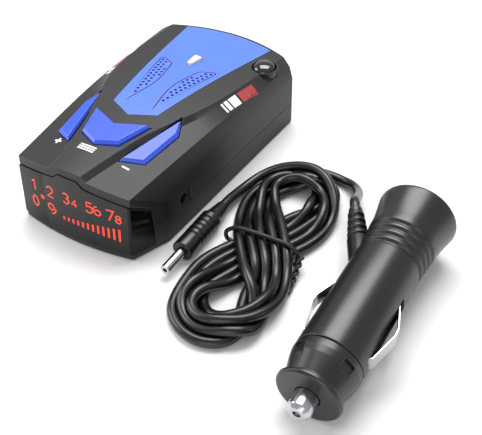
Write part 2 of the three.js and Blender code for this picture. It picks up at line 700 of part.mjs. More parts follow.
/** A hank lying along Y: two round loops drawn together at the waist. */
function cordHank() {
  const { x, y, waist, height, turn } = HANK;
  const flank = Math.atan2(loopRadius - waist / 2, loopCentre);
  const loop = [];
  for (let i = 0; i <= 12; i++) {
    const angle = -flank + ((Math.PI + 2 * flank) * i) / 12;
    loop.push([loopRadius * Math.cos(angle), loopCentre + loopRadius * Math.sin(angle)]);
  }
  const waistEnds = [[-waist / 2, 0], [waist / 2, 0]];
  const ring = [...loop, waistEnds[0], ...loop.map(([px, py]) => [-px, -py]), waistEnds[1]];
  return prism(ring, 0, height).rotate([0, 0, THREE.MathUtils.radToDeg(turn)]).translate([x, y, 0.05]);
}

/** The tie over the hank's waist. */
function cordTie() {
  const { x, y, waist, height } = HANK;
  const half = waist / 2 + 2;
  const band = block(-half - 1, half + 1, -1.5, 1.5, 0.05, height + GAP + 1.1);
  return band.subtract(block(-half, half, -5, 5, -5, height + GAP + 0.1)).translate([x, y, 0]);
}

const dcPlug = new THREE.Group();
dcPlug.position.set(dcX, dcY - GAP, DC_PLUG.radius + 0.05);
dcPlug.rotation.set(Math.PI / 2, 0, 0);

function dcGrip() {
  const { radius, grip } = DC_PLUG;
  return turned([[0, 0], [2.1, 0], [2.9, 6], [radius, 7.5], [radius, 7.5 + grip], [0, 7.5 + grip]], 20);
}

function dcBarrel() {
  const { grip, barrel, reach } = DC_PLUG;
  const low = 7.5 + grip + GAP;
  return turned([
    [0, low], [barrel, low], [barrel, low + reach], [0.8, low + reach], [0.8, low + 2], [0, low + 2],
  ], 20);
}

// ---------------------------------------------------------------- assembly

const finishes = {
  blackPlastic: { color: 0x2b2b2b, roughness: 0.6 },
  darkPlastic: { color: 0x1c1c1c, roughness: 0.55 },
  bluePanel: { color: 0x7c9ff2, roughness: 0.45 },
  blueKey: { color: 0x5f74ea, roughness: 0.35 },
  smoked: { color: 0x0d0d0d, roughness: 0.08 },
  glossBlack: { color: 0x101010, roughness: 0.1 },
  ivory: { color: 0xedebe6, roughness: 0.35 },
  greenBoard: { color: 0x1f5a33, roughness: 0.5 },
  metal: { color: 0xc4c6c8, roughness: 0.3, metalness: 1 },
  steel: { color: 0x8d9094, roughness: 0.35, metalness: 1 },
  ferrite: { color: 0x3a3a3c, roughness: 0.6 },
  paper: { color: 0x202020, roughness: 0.9 },
  rubber: { color: 0x171717, roughness: 0.85 },
  red: { color: 0xe8503f, roughness: 0.25 },
  glass: { color: 0xd8e2e4, roughness: 0.05 },
};

const detector = new THREE.Group();

function add(parent, name, shape, finish) {
  const { numProp, vertProperties, triVerts } = shape.getMesh();
  const geometry = new THREE.BufferGeometry();
  const positions = new Float32Array((vertProperties.length / numProp) * 3);
  for (let i = 0; i < positions.length / 3; i++) {
    for (let k = 0; k < 3; k++) positions[3 * i + k] = vertProperties[numProp * i + k];
  }
  geometry.setAttribute('position', new THREE.BufferAttribute(positions, 3));
  geometry.setIndex(new THREE.BufferAttribute(new Uint32Array(triVerts), 1));
  geometry.computeVertexNormals();
  const mesh = new THREE.Mesh(geometry, new THREE.MeshStandardMaterial(finishes[finish]));
  mesh.name = name;
  parent.add(mesh);
}

add(detector, 'top_shell', topShell(), 'blackPlastic');
add(detector, 'bottom_shell', bottomShell(), 'blackPlastic');
add(detector, 'speaker_panel', speakerPanel(), 'bluePanel');
add(detector, 'status_light', statusLight(), 'ivory');
for (const name of ['up', 'menu', 'down']) {
  add(detector, `button_${name}`, key(name), 'blueKey');
  add(detector, `tact_switch_${name}`, tactSwitch(name), 'darkPlastic');
}
const lens = casing(-LENS_PROUD).subtract(casing(LENS_THICK - LENS_PROUD)).intersect(windowSpace(0));
add(detector, 'display_lens', lens, 'smoked');
add(detector, 'display_module', displayModule(), 'darkPlastic');
add(detector, 'laser_dome', laserDome(), 'glossBlack');
add(detector, 'dome_bezel', domeBezel(), 'darkPlastic');
add(detector, 'dome_sensor', bar(DOME.x, DOME.y, 2.4, domeHeight() - 7, domeHeight() - 3.4, 20), 'metal');
const jackBore = bar(0, 0, JACK.bore / 2, 0, JACK.depth - 1, 20).rotate([0, 90, 0]);
const jackFace = CORNER_HALF + 0.2;
const jackZ = BOARD_TOP + GAP + JACK.height / 2;
const jackBody = jackSpace(0).intersect(block(jackFace - JACK.depth, jackFace, -60, 60, 0, SKY));
const jackMouth = jackBore.translate([jackFace - JACK.depth + 1.5, JACK.at, jackZ]);
add(detector, 'dc_jack', jackBody.subtract(jackMouth), 'darkPlastic');
const jackPin = bar(0, 0, JACK.pin / 2, 0, JACK.depth - 3.2, 12).rotate([0, 90, 0]);
add(detector, 'dc_jack_pin', jackPin.translate([jackFace - JACK.depth + 1.5 + GAP, JACK.at, jackZ]), 'metal');
add(detector, 'circuit_board', circuitBoard(), 'greenBoard');
add(detector, 'key_board', board(KEY_BOARD_TOP, WALL + 3, -36.5, -11.5, 19.5), 'greenBoard');
for (const [piece, make] of Object.entries(speakerPieces)) {
  const finish = { basket: 'steel', cone: 'paper', magnet: 'ferrite' }[piece];
  add(detector, `speaker_${piece}`, make(SPEAKER).translate([0, SPEAKER.at, 0]), finish);
}
add(detector, 'horn_antenna', hornAntenna(), 'metal');
const rearWindow = casing(-0.2).subtract(casing(WALL)).intersect(rearWindowSpace(0));
add(detector, 'windscreen_laser_window', rearWindow, 'glossBlack');
screwPlaces.forEach((place, i) => add(detector, `case_screw_${i + 1}`, caseScrew(place), 'steel'));
const padHalf = PAD.length / 2;
add(detector, 'grip_pad', block(-PAD.half, PAD.half, -padHalf, padHalf, 0, PAD.thick), 'rubber');

const lead = new THREE.Group();
lead.add(plug, dcPlug);
add(plug, 'plug_body', plugBody(), 'darkPlastic');
add(plug, 'plug_nose', plugNose(), 'darkPlastic');
add(plug, 'plug_tip', plugTip(), 'metal');
add(plug, 'tip_spring', tube(new Coil(), 0.8, 50, 5), 'steel');
add(plug, 'fuse', bar(0, 0, 3, TIP.length + 10, TIP.length + 40, 16), 'glass');
add(plug, 'side_contact_right', sideContact(1), 'metal');
add(plug, 'side_contact_left', sideContact(-1), 'metal');
add(plug, 'switch_module', bar(0, 0, PLUG.bore - GAP, 64, PLUG.end - 6 - GAP, 20), 'darkPlastic');
const buttonProfile = [
  [0, PLUG.end - 3.4], [BUTTON.radius, PLUG.end - 3.4], [BUTTON.radius, PLUG.end + BUTTON.proud - 1.2],
  [BUTTON.radius - 1.1, PLUG.end + BUTTON.proud], [0, PLUG.end + BUTTON.proud],
];
add(plug, 'switch_button', turned(buttonProfile, 36), 'red');
add(plug, 'plug_boot', plugBoot(), 'rubber');
add(lead, 'power_cord', tube(leadRoute, CORD, 18), 'rubber');
add(lead, 'cord_hank', cordHank(), 'rubber');
add(lead, 'cord_tail', tube(tailRoute, CORD, 8), 'rubber');
add(lead, 'cord_tie', cordTie(), 'rubber');
add(dcPlug, 'dc_plug_grip', dcGrip(), 'rubber');
add(dcPlug, 'dc_plug_barrel', dcBarrel(), 'metal');

const group = new THREE.Group();
group.add(detector, lead);
export default group;
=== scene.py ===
import json
import logging
import math
from dataclasses import dataclass
from enum import Enum
from functools import partial
from typing import Callable, Iterable, Sequence

import bmesh
import bpy
import numpy as np
from mathutils import Matrix, Vector
from mathutils.bvhtree import BVHTree
from mathutils.geometry import delaunay_2d_cdt


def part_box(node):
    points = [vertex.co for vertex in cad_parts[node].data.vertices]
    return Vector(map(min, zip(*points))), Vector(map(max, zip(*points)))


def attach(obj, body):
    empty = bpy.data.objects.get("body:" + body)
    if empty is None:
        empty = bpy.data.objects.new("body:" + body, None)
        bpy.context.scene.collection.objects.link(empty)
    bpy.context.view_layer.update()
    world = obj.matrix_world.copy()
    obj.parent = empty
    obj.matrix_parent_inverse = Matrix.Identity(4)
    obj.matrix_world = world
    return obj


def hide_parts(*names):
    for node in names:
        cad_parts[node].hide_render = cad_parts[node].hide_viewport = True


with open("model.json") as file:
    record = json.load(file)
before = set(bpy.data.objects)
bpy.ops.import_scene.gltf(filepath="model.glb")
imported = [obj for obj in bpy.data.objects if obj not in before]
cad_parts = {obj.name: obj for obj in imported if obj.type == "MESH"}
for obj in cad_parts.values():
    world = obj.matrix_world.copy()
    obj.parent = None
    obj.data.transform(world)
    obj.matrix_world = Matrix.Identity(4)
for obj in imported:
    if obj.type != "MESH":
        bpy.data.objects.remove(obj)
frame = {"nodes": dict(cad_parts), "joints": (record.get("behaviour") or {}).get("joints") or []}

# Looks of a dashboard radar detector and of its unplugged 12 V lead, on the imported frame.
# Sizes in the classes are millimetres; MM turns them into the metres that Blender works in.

LOG = logging.getLogger("radar_detector")
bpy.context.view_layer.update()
MM = 0.001

Point2 = tuple[float, float]
Loop = Sequence[Point2]


# ------------------------------------------------------------------ finishes


class Slot(Enum):
    """Material slots of the record."""

    CASING = "casing_abs"
    PANEL = "blue_panel"
    DISPLAY = "display"
    DOME = "gloss_dome"
    PLUG = "plug_plastic"
    PLATED = "plated_metal"
    CORD = "cord_pvc"
    BUTTON = "red_button"


def linear(code: str) -> tuple[float, float, float, float]:
    """Turn an sRGB hex colour into the linear values that a shader socket takes.

    Args:
        code: colour as "#RRGGBB".

    Returns:
        Linear red, green and blue, and an alpha of 1.
    """
    parts = [int(code[i : i + 2], 16) / 255 for i in (1, 3, 5)]
    red, green, blue = (c / 12.92 if c <= 0.04045 else ((c + 0.055) / 1.055) ** 2.4 for c in parts)
    return red, green, blue, 1.0


def add_node(
    tree: bpy.types.NodeTree,
    kind: str,
    settings: dict[str, object] | None = None,
    inputs: dict[str | int, object] | None = None,
) -> bpy.types.Node:
    """Add a shader node with its settings and its inputs.

    Args:
        tree: node tree of the material.
        kind: the node's type name.
        settings: properties of the node itself.
        inputs: values for its sockets, or the output sockets to link to them.

    Returns:
        The new node.
    """
    node = tree.nodes.new(kind)
    for key, value in (settings or {}).items():
        setattr(node, key, value)
    for key, value in (inputs or {}).items():
        if isinstance(value, bpy.types.NodeSocket):
            tree.links.new(value, node.inputs[key])
        else:
            node.inputs[key].default_value = value
    return node


@dataclass(frozen=True)
class Finish:
    """What every finish has: a name, a colour and how rough its surface is.

    colour is the middle tone, variation the share by which broad patches are lighter or darker, and
    patch_mm their size. grain_mm is the distance between two peaks of the surface texture, relief_mm its
    height, and edge_highlight how much a painted highlight lightens the rounded edges.
    """

    name: str
    colour: str
    roughness: float
    ior: float = 1.5
    metallic: float = 0.0
    variation: float = 0.08
    patch_mm: float = 9.0
    grain_mm: float = 0.6
    relief_mm: float = 0.02
    gloss_spread: float = 0.05
    edge_highlight: float = 0.0
    edge_mm: float = 0.35
    coat: float = 0.0
    specular: float = 0.5

    def material(self) -> bpy.types.Material:
        """Make the material, or find it when it is already made.

        Returns:
            The material.
        """
        known = bpy.data.materials.get(self.name)
        if known:
            return known
        made = bpy.data.materials.new(self.name)
        made.use_nodes = True
        tree = made.node_tree
        shader = tree.nodes["Principled BSDF"]
        shader.inputs["Roughness"].default_value = self.roughness
        shader.inputs["Metallic"].default_value = self.metallic
        shader.inputs["Coat Weight"].default_value = self.coat
        shader.inputs["Specular IOR Level"].default_value = self.specular
        if not self.metallic:
            shader.inputs["IOR"].default_value = self.ior
        self.dress(tree, shader)
        return made

    def dress(self, tree: bpy.types.NodeTree, shader: bpy.types.Node) -> None:
        """Lay the colour, the gloss and the grain on the shader.

        Args:
            tree: node tree of the material.
            shader: its principled shader.
        """
        place = add_node(tree, "ShaderNodeTexCoord").outputs["Object"]
        grain = self.grain(tree, place)
        colour = self.with_painted_edge_highlight(tree, self.patchy(tree, place, self.colour, grain))
        tree.links.new(colour, shader.inputs["Base Color"])
        low, high = self.roughness - self.gloss_spread, self.roughness + self.gloss_spread
        gloss = add_node(
            tree, "ShaderNodeMapRange", None, {"Value": grain, "To Min": max(low, 0.02), "To Max": high})
        tree.links.new(gloss.outputs["Result"], shader.inputs["Roughness"])
        bump = add_node(
            tree, "ShaderNodeBump", None, {"Height": grain, "Distance": self.relief_mm * MM, "Strength": 1.0})
        tree.links.new(bump.outputs["Normal"], shader.inputs["Normal"])

    def grain(self, tree: bpy.types.NodeTree, place: bpy.types.NodeSocket) -> bpy.types.NodeSocket:
        """Fine surface texture.

        Args:
            tree: node tree of the material.
            place: coordinates in metres.

        Returns:
            Height of the texture, from 0 to 1.
        """
        scale = 1 / (self.grain_mm * MM)
        return add_node(
            tree, "ShaderNodeTexNoise", None, {"Vector": place, "Scale": scale, "Detail": 3.0, "Roughness": 0.6}
        ).outputs["Fac"]

    def patchy(
        self, tree: bpy.types.NodeTree, place: bpy.types.NodeSocket, code: str, grain: bpy.types.NodeSocket
    ) -> bpy.types.NodeSocket:
        """A colour that drifts a little from place to place and with the grain.

        Args:
            tree: node tree of the material.
            place: coordinates in metres.
            code: middle colour.
            grain: height of the fine texture.

        Returns:
            The colour socket.
        """
        broad = add_node(
            tree, "ShaderNodeTexNoise", None, {"Vector": place, "Scale": 1 / (self.patch_mm * MM), "Detail": 2.0})
        both = add_node(
            tree, "ShaderNodeMix", {"data_type": "FLOAT"}, {0: 0.5, 2: broad.outputs["Fac"], 3: grain})
        middle = Vector(linear(code)[:3])
        dark, light = ((*(middle * share), 1.0) for share in (1 - self.variation, 1 + self.variation))
        ramp = add_node(tree, "ShaderNodeValToRGB", None, {"Fac": both.outputs[0]})
        for stop, at, value in zip(ramp.color_ramp.elements, (0.3, 0.7), (dark, light)):
            stop.position = at
            stop.color = value
        return ramp.outputs["Color"]

    def with_painted_edge_highlight(self, tree: bpy.types.NodeTree, colour: bpy.types.NodeSocket) -> bpy.types.NodeSocket:
        """The colour with a painted highlight on its rounded edges.

        Args:
            tree: node tree of the material.
            colour: colour of the open surface.

        Returns:
            The colour socket.
        """
        if not self.edge_highlight:
            return colour
        # Painted highlight: where the bevelled normal turns away from the face's own, the colour is mixed towards
        # near white.
        rounded = add_node(tree, "ShaderNodeBevel", {"samples": 4}, {"Radius": self.edge_mm * MM})
        flat = add_node(tree, "ShaderNodeNewGeometry")
        turn = add_node(
            tree, "ShaderNodeVectorMath", {"operation": "DOT_PRODUCT"},
            {0: rounded.outputs["Normal"], 1: flat.outputs["Normal"]})
        edge = add_node(
            tree, "ShaderNodeMapRange", None,
            {"Value": turn.outputs["Value"], "From Min": 0.99, "From Max": 0.82, "To Max": self.edge_highlight})
        highlighted = add_node(
            tree, "ShaderNodeMix", {"data_type": "RGBA"},
            {0: edge.outputs["Result"], 6: colour, 7: linear("#E7E9EE")})
        return highlighted.outputs[2]


@dataclass(frozen=True)
class SmokedAcrylic(Finish):
    """Tinted window through which the display's grey face shows between two sides."""

    face: str = "#2E2E2F"
    left: float = -11.0
    right: float = 22.2
    low: float = 2.0
    high: float = 22.0

    def dress(self, tree: bpy.types.NodeTree, shader: bpy.types.Node) -> None:
        """Lay the tint, and the paler field in front of the display's face.

        Args:
            tree: node tree of the material.
            shader: its principled shader.
        """
        super().dress(tree, shader)
        place = add_node(tree, "ShaderNodeTexCoord").outputs["Object"]
        apart = add_node(tree, "ShaderNodeSeparateXYZ", None, {"Vector": place})
        across = [
            add_node(
                tree, "ShaderNodeMapRange", None,
                {"Value": apart.outputs["X"], "From Min": edge * MM, "From Max": (edge + blur) * MM})
            for edge, blur in ((self.left, 0.15), (self.right, -0.15))
        ]
        rise = add_node(
            tree, "ShaderNodeMapRange", None,
            {"Value": apart.outputs["Z"], "From Min": self.low * MM, "From Max": self.high * MM,
             "To Min": 0.55, "To Max": 1.0})
        sides = add_node(
            tree, "ShaderNodeMath", {"operation": "MULTIPLY"},
            {0: across[0].outputs["Result"], 1: across[1].outputs["Result"]})
        share = add_node(
            tree, "ShaderNodeMath", {"operation": "MULTIPLY"},
            {0: sides.outputs["Value"], 1: rise.outputs["Result"]})
        seen = add_node(
            tree, "ShaderNodeMix", {"data_type": "RGBA"},
            {0: share.outputs["Value"], 6: linear(self.colour), 7: linear(self.face)})
        tree.links.new(seen.outputs[2], shader.inputs["Base Color"])


@dataclass(frozen=True)
class GlowingInk(Finish):
    """Lit characters: a light-emitting film with faint unevenness."""

    glow: str = "#FF3B12"
    strength: float = 1.0

    def dress(self, tree: bpy.types.NodeTree, shader: bpy.types.Node) -> None:
        """Lay the light on the shader.

        Args:
            tree: node tree of the material.
            shader: its principled shader.
        """
        super().dress(tree, shader)
        place = add_node(tree, "ShaderNodeTexCoord").outputs["Object"]
        tree.links.new(
            self.patchy(tree, place, self.glow, self.grain(tree, place)), shader.inputs["Emission Color"])
        shader.inputs["Emission Strength"].default_value = self.strength


@dataclass(frozen=True)
class Drawn(Finish):
    """Metal or plastic whose texture runs along one axis, as drawing, turning or extruding leaves it."""

    stretch: tuple[float, float, float] = (1.0, 0.05, 1.0)

    def grain(self, tree: bpy.types.NodeTree, place: bpy.types.NodeSocket) -> bpy.types.NodeSocket:
        """Fine lines along one axis.

        Args:
            tree: node tree of the material.
            place: coordinates in metres.

        Returns:
            Height of the lines, from 0 to 1.
        """
        drawn = add_node(tree, "ShaderNodeMapping", None, {"Vector": place, "Scale": self.stretch})
        return super().grain(tree, drawn.outputs["Vector"])


@dataclass(frozen=True)
class Laminate(Finish):
    """Fibreglass board under solder mask, with rows of copper tracks showing as paler bands."""

    track: str = "#2F7A48"
    track_mm: float = 0.5

    def dress(self, tree: bpy.types.NodeTree, shader: bpy.types.Node) -> None:
        """Lay the tracks over the mask.

        Args:
            tree: node tree of the material.
            shader: its principled shader.
        """
        super().dress(tree, shader)
        place = add_node(tree, "ShaderNodeTexCoord").outputs["Object"]
        lines = add_node(
            tree, "ShaderNodeTexBrick", {"offset": 0.37, "squash": 1.6},
            {"Vector": place, "Scale": 1 / (self.track_mm * 12 * MM), "Mortar Size": 0.05,
             "Color1": linear(self.colour), "Color2": linear(self.colour), "Mortar": linear(self.track)})
        tree.links.new(lines.outputs["Color"], shader.inputs["Base Color"])


# Moulded ABS with a spark-eroded grain: the light breaks up on it, so that it reads dark grey from above. Its edges
# carry a faint painted highlight.
CASING = Finish(
    "moulded_abs_black", "#151515", 0.52, ior=1.53, variation=0.2, patch_mm=5.0, grain_mm=0.55, relief_mm=0.03,
    gloss_spread=0.08, edge_highlight=0.06, edge_mm=0.5)
# The same ABS in blue, satin from a smoother tool: an even, clear tone, with a painted highlight on its edges.
PANEL = Finish(
    "moulded_abs_blue_satin", "#4E74E2", 0.42, ior=1.53, variation=0.05, patch_mm=14.0, grain_mm=0.8,
    relief_mm=0.008, edge_highlight=0.35, edge_mm=0.3)
# Grooves and hole walls of the blue panel, where dust and shadow darken the ABS.
# Floors of the grooves in the blue panel, painted dark navy as the shade that falls in the grooves.
GROOVE_SHADE = Finish("moulded_abs_blue_recess_painted_shade", "#0A154A", 0.6, ior=1.53, grain_mm=0.4)
# Deeper blue ABS of the keys, rubbed glossy by fingers, with painted highlight lines along the edges round a satin
# top.
KEY = Finish(
    "moulded_abs_blue_key", "#2F54DA", 0.36, ior=1.53, variation=0.06, patch_mm=8.0, grain_mm=0.7,
    relief_mm=0.006, edge_highlight=0.55, edge_mm=0.3)
# Smoked acrylic, polished: near black, with mirror-like but dim reflections.
WINDOW = SmokedAcrylic(
    "polished_acrylic_smoked", "#070707", 0.09, ior=1.49, variation=0.1, grain_mm=3.0, relief_mm=0.002,
    gloss_spread=0.02, specular=0.2)
# Lit film behind the window: an even orange red.
GLOW = GlowingInk("lit_film_orange_red", "#B02408", 0.4, grain_mm=0.5, strength=1.1, variation=0.05)
# Infrared-pass polycarbonate, moulded in a mirror-polished tool: black, with sharp highlights.
DOME = Finish(
    "polished_polycarbonate_black", "#0B0B0B", 0.07, ior=1.585, variation=0.1, grain_mm=4.0, relief_mm=0.002,
    gloss_spread=0.02, coat=0.5)
# Milky polycarbonate light pipe: ivory and soft.
IVORY = Finish(
    "moulded_polycarbonate_ivory", "#E9E5DA", 0.3, ior=1.585, variation=0.03, patch_mm=3.0, grain_mm=0.5,
    relief_mm=0.004)
# Glass-filled nylon of the small black pieces: matt with a slight sheen.
BLACK = Finish("moulded_nylon_black", "#161616", 0.46, ior=1.53, grain_mm=0.5, relief_mm=0.012)
# Phenolic plug body, moulded and tumbled: satin black with soft long highlights, and a faint painted highlight on
# its edges.
PLUG = Finish(
    "moulded_phenolic_black", "#101011", 0.33, ior=1.6, variation=0.12, patch_mm=7.0, grain_mm=0.6,
    relief_mm=0.006, gloss_spread=0.06, edge_highlight=0.08)
# Bright nickel plate on spring steel and brass: mirror-like with fine drawing lines.
NICKEL = Drawn(
    "drawn_nickel_plate", "#BFC0C3", 0.2, metallic=1.0, variation=0.05, grain_mm=0.5, relief_mm=0.003,
    gloss_spread=0.08)
# Die-cast zinc of the horn: grey and lightly frosted.
ZINC = Finish("cast_zinc_bare", "#9A9DA1", 0.45, metallic=1.0, grain_mm=0.6, relief_mm=0.02)
# Zinc-plated steel of screws, spring and basket: cool grey with a faint grain.
STEEL = Drawn("rolled_steel_zinc_plated", "#8E9196", 0.34, metallic=1.0, grain_mm=0.4, relief_mm=0.006)
# Sintered ferrite: charcoal and chalky.
FERRITE = Finish("sintered_ferrite", "#38383A", 0.7, ior=2.0, grain_mm=0.3, relief_mm=0.03)
# Pressed paper cone: felt-like and dull.
PAPER = Finish("pressed_paper_black", "#1D1C1B", 0.95, grain_mm=0.5, relief_mm=0.08)
# Silicone grip pad, moulded matt: soft black that scatters the light.
RUBBER = Finish("moulded_silicone_black", "#121212", 0.82, ior=1.42, grain_mm=0.9, relief_mm=0.06)
# Extruded soft PVC: black with a wet-looking line of light along each strand.
CORD = Drawn(
    "extruded_pvc_black", "#0C0C0C", 0.3, ior=1.53, variation=0.1, grain_mm=1.2, relief_mm=0.008,
    gloss_spread=0.06, stretch=(1.0, 0.3, 1.0))
# Clear red polycarbonate cap: saturated and glossy.
RED = Finish(
    "polished_polycarbonate_red", "#E2452F", 0.14, ior=1.585, variation=0.05, grain_mm=2.0, relief_mm=0.002,
    coat=0.6, gloss_spread=0.03)
# Drawn glass tube of the fuse: pale and glossy.
GLASS = Finish("drawn_glass_pale", "#C9D4D4", 0.06, ior=1.52, grain_mm=2.0, relief_mm=0.001)
# Fibreglass board under green solder mask.
BOARD = Laminate("laminated_fibreglass_green", "#1C5430", 0.35, ior=1.55, grain_mm=0.4)
# Display face: black anodised carrier.
CARRIER = Finish("anodised_carrier_black", "#101011", 0.4, grain_mm=0.4)
# Pad-printed inks: thin, flat and slightly porous.
WHITE_INK = Finish("printed_ink_white", "#F2F2F0", 0.55, variation=0.03, grain_mm=0.3, relief_mm=0.004)
RED_INK = Finish("printed_ink_dark_red", "#A5383D", 0.55, variation=0.1, grain_mm=0.35, relief_mm=0.004)


# ------------------------------------------------------------------ mesh work


def link_piece(obj: bpy.types.Object, finish: Finish, body: str, stands_for: Iterable[str]) -> None:
    """Put a new piece in the scene, with its finish and body.

    Args:
        obj: the new object.
        finish: what it is made of.
        body: CAD body that it moves with.
        stands_for: CAD nodes that it is shown instead of.
    """
    bpy.context.scene.collection.objects.link(obj)
    obj.data.materials.append(finish.material())
    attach(obj, body)
    nodes = tuple(stands_for)
    if nodes:
        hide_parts(*nodes)


def mesh_piece(
    name: str,
    bm: bmesh.types.BMesh,
    finish: Finish,
    body: str,
    stands_for: Iterable[str] = (),
    sharp: float = 40.0,
) -> bpy.types.Object:
    """Turn a bmesh into a shaded piece.

    Args:
        name: name of the piece.
        bm: its shape, in metres, in the row frame; it is freed here.
        finish: what it is made of.
        body: CAD body that it moves with.
        stands_for: CAD nodes that it is shown instead of.
        sharp: angle in degrees above which an edge stays crisp.

    Returns:
        The new object.
    """
    bmesh.ops.recalc_face_normals(bm, faces=bm.faces)
    mesh = bpy.data.meshes.new(name)
    bm.to_mesh(mesh)
    bm.free()
    mesh.shade_smooth()
    mesh.set_sharp_from_angle(angle=math.radians(sharp))
    obj = bpy.data.objects.new(name, mesh)
    link_piece(obj, finish, body, stands_for)
    return obj


def soften(obj: bpy.types.Object, width: float, angle: float = 28.0, flat: float = 1.0) -> None:
    """Round the edges of a piece as a moulding tool would.

    Args:
        obj: the piece.
        width: width of the rounding in millimetres.
        angle: angle in degrees above which an edge is rounded.
        flat: angle in degrees below which neighbouring triangles are joined first, or 0 to leave them.
    """
    obj.data.shade_smooth()
    if flat:
        weld = obj.modifiers.new("weld", "WELD")
        weld.merge_threshold = 0.05 * MM
        joined = obj.modifiers.new("join", "DECIMATE")
        joined.decimate_type = "DISSOLVE"
        joined.angle_limit = math.radians(flat)
    bevel = obj.modifiers.new("edges", "BEVEL")
    bevel.width = width * MM
    bevel.segments = 3
    bevel.limit_method = "ANGLE"
    bevel.angle_limit = math.radians(angle)
    bevel.harden_normals = True
    bevel.miter_outer = "MITER_ARC"
    normals = obj.modifiers.new("normals", "WEIGHTED_NORMAL")
    normals.keep_sharp = True


def filleted(points: Sequence[tuple[float, ...]], arc: int = 5) -> list[Point2]:
    """Round the corners of a line.

    Args:
        points: (x, y) or (x, y, radius) for each corner; the first and the last are left as they are.
        arc: number of steps in each rounding.

    Returns:
        The rounded line's points.
    """
    line: list[Point2] = [points[0][:2]]
    for before, here, after in zip(points, points[1:], points[2:]):
        at, radius = Vector(here[:2]), here[2] if len(here) > 2 else 0.0
        to, on = Vector(before[:2]) - at, Vector(after[:2]) - at
        bend = to.angle(on, math.pi)
        if not radius or bend > math.pi - 0.01:
            line.append(here[:2])
            continue
        reach = min(radius / math.tan(bend / 2), 0.45 * to.length, 0.45 * on.length)
        start, end = at + to.normalized() * reach, at + on.normalized() * reach
        for step in range(arc + 1):
            t = step / arc
            spot = start * (1 - t) ** 2 + at * (2 * t * (1 - t)) + end * t * t
            line.append((spot.x, spot.y))
    line.append(points[-1][:2])
    return line


def turned(profile: Sequence[tuple[float, ...]], sides: int = 64, place: Matrix = Matrix()) -> bmesh.types.BMesh:
    """Turn a profile about the Z axis.

    Args:
        profile: (radius, height, fillet) in millimetres; it starts and ends on the axis, or on one point.
        sides: number of facets round it.
        place: where the Z axis goes, in metres.

    Returns:
        The closed shape.
    """
    line = filleted(profile)
    closed = line[0] == line[-1]
    if closed:
        line = line[:-1]
    bm = bmesh.new()
    rings = []
    for radius, height in line:
        count = sides if radius > 1e-6 else 1
        turn = [2 * math.pi * i / count for i in range(count)]
        rings.append([
            bm.verts.new(place @ Vector((radius * math.cos(a) * MM, radius * math.sin(a) * MM, height * MM)))
            for a in turn
        ])
    pairs = list(zip(rings, rings[1:] + rings[:1] if closed else rings[1:]))
    for low, high in pairs:
        for i in range(sides):
            j = (i + 1) % sides
            corners = [low[i % len(low)], low[j % len(low)], high[j % len(high)], high[i % len(high)]]
            unique = list(dict.fromkeys(corners))
            if len(unique) > 2:
                bm.faces.new(unique)
    return bm


def inside(loops: Sequence[Loop], x: float, y: float) -> bool:
    """Tell whether a point lies inside an odd number of loops.

    Args:
        loops: closed outlines.
        x: the point's first coordinate.
        y: the point's second coordinate.

    Returns:
        True where there is material.
    """
    crossings = 0
    for loop in loops:
        for (ax, ay), (bx, by) in zip(loop, [*loop[1:], loop[0]]):
            if (ay > y) != (by > y) and x < ax + (bx - ax) * (y - ay) / (by - ay):
                crossings += 1
    return crossings % 2 == 1


def finely(loop: Loop, step: float) -> list[Point2]:
    """Add points along a loop's sides.

    Args:
        loop: closed outline.
        step: longest side wanted.

    Returns:
        The outline with more points.
    """
    fine: list[Point2] = []
    for (ax, ay), (bx, by) in zip(loop, [*loop[1:], loop[0]]):
        count = max(1, math.ceil(math.hypot(bx - ax, by - ay) / step))
        fine += [(ax + (bx - ax) * i / count, ay + (by - ay) * i / count) for i in range(count)]
    return fine


def draped(
    loops: Sequence[Loop],
    lift: Callable[[float, float, float], Vector],
    top: float,
    bottom: float,
    step: float = 2.0,
) -> bmesh.types.BMesh:
    """Lay a thin slab on a curved surface.

    Args:
        loops: closed outlines in millimetres; each one inside another is a hole or an island in it.
        lift: gives the point in metres for two coordinates and a height over the surface.
        top: height of the slab's upper side over the surface.
        bottom: height of its lower side.
        step: spacing of the points that follow the surface.

    Returns:
        The closed shape.
    """
    points: list[Vector] = []
    edges: list[tuple[int, int]] = []
    fine = [finely(loop, step) for loop in loops]
    for loop in fine:
        first = len(points)
        points += [Vector(p) for p in loop]
        edges += [(first + i, first + (i + 1) % len(loop)) for i in range(len(loop))]
    low = [min(p[k] for p in points) for k in (0, 1)]
    high = [max(p[k] for p in points) for k in (0, 1)]
    for i in range(1, math.ceil((high[0] - low[0]) / step)):
        for j in range(1, math.ceil((high[1] - low[1]) / step)):
            x, y = low[0] + i * step, low[1] + j * step
            if inside(fine, x, y):
                points.append(Vector((x, y)))
    flat, _, faces, *_ = delaunay_2d_cdt(points, edges, [], 0, 1e-5)
    bm = bmesh.new()
    sheets = [[bm.verts.new(lift(p.x, p.y, height)) for p in flat] for height in (top, bottom)]
    kept = []
    for face in faces:
        middle = sum((flat[i] for i in face), Vector((0, 0))) / len(face)
        if inside(fine, middle.x, middle.y):
            kept.append(face)
    sides: dict[tuple[int, int], int] = {}
    for face in kept:
        bm.faces.new([sheets[0][i] for i in face])
        bm.faces.new([sheets[1][i] for i in reversed(face)])
        for a, b in zip(face, [*face[1:], face[0]]):
            sides[(a, b)] = sides.get((a, b), 0) + 1
    for a, b in sides:
        if (b, a) not in sides:
            bm.faces.new([sheets[0][b], sheets[0][a], sheets[1][a], sheets[1][b]])
    bmesh.ops.delete(bm, geom=[v for v in bm.verts if not v.link_faces], context="VERTS")
    return bm


def merged(shapes: Iterable[bmesh.types.BMesh]) -> bmesh.types.BMesh:
    """Gather several shapes into one.

    Args:
        shapes: the shapes, which are freed here.

    Returns:
        One shape with all their faces.
    """
    whole = bmesh.new()
    for shape in shapes:
        spare = bpy.data.meshes.new("spare")
        shape.to_mesh(spare)
        shape.free()
        whole.from_mesh(spare)
        bpy.data.meshes.remove(spare)
    return whole


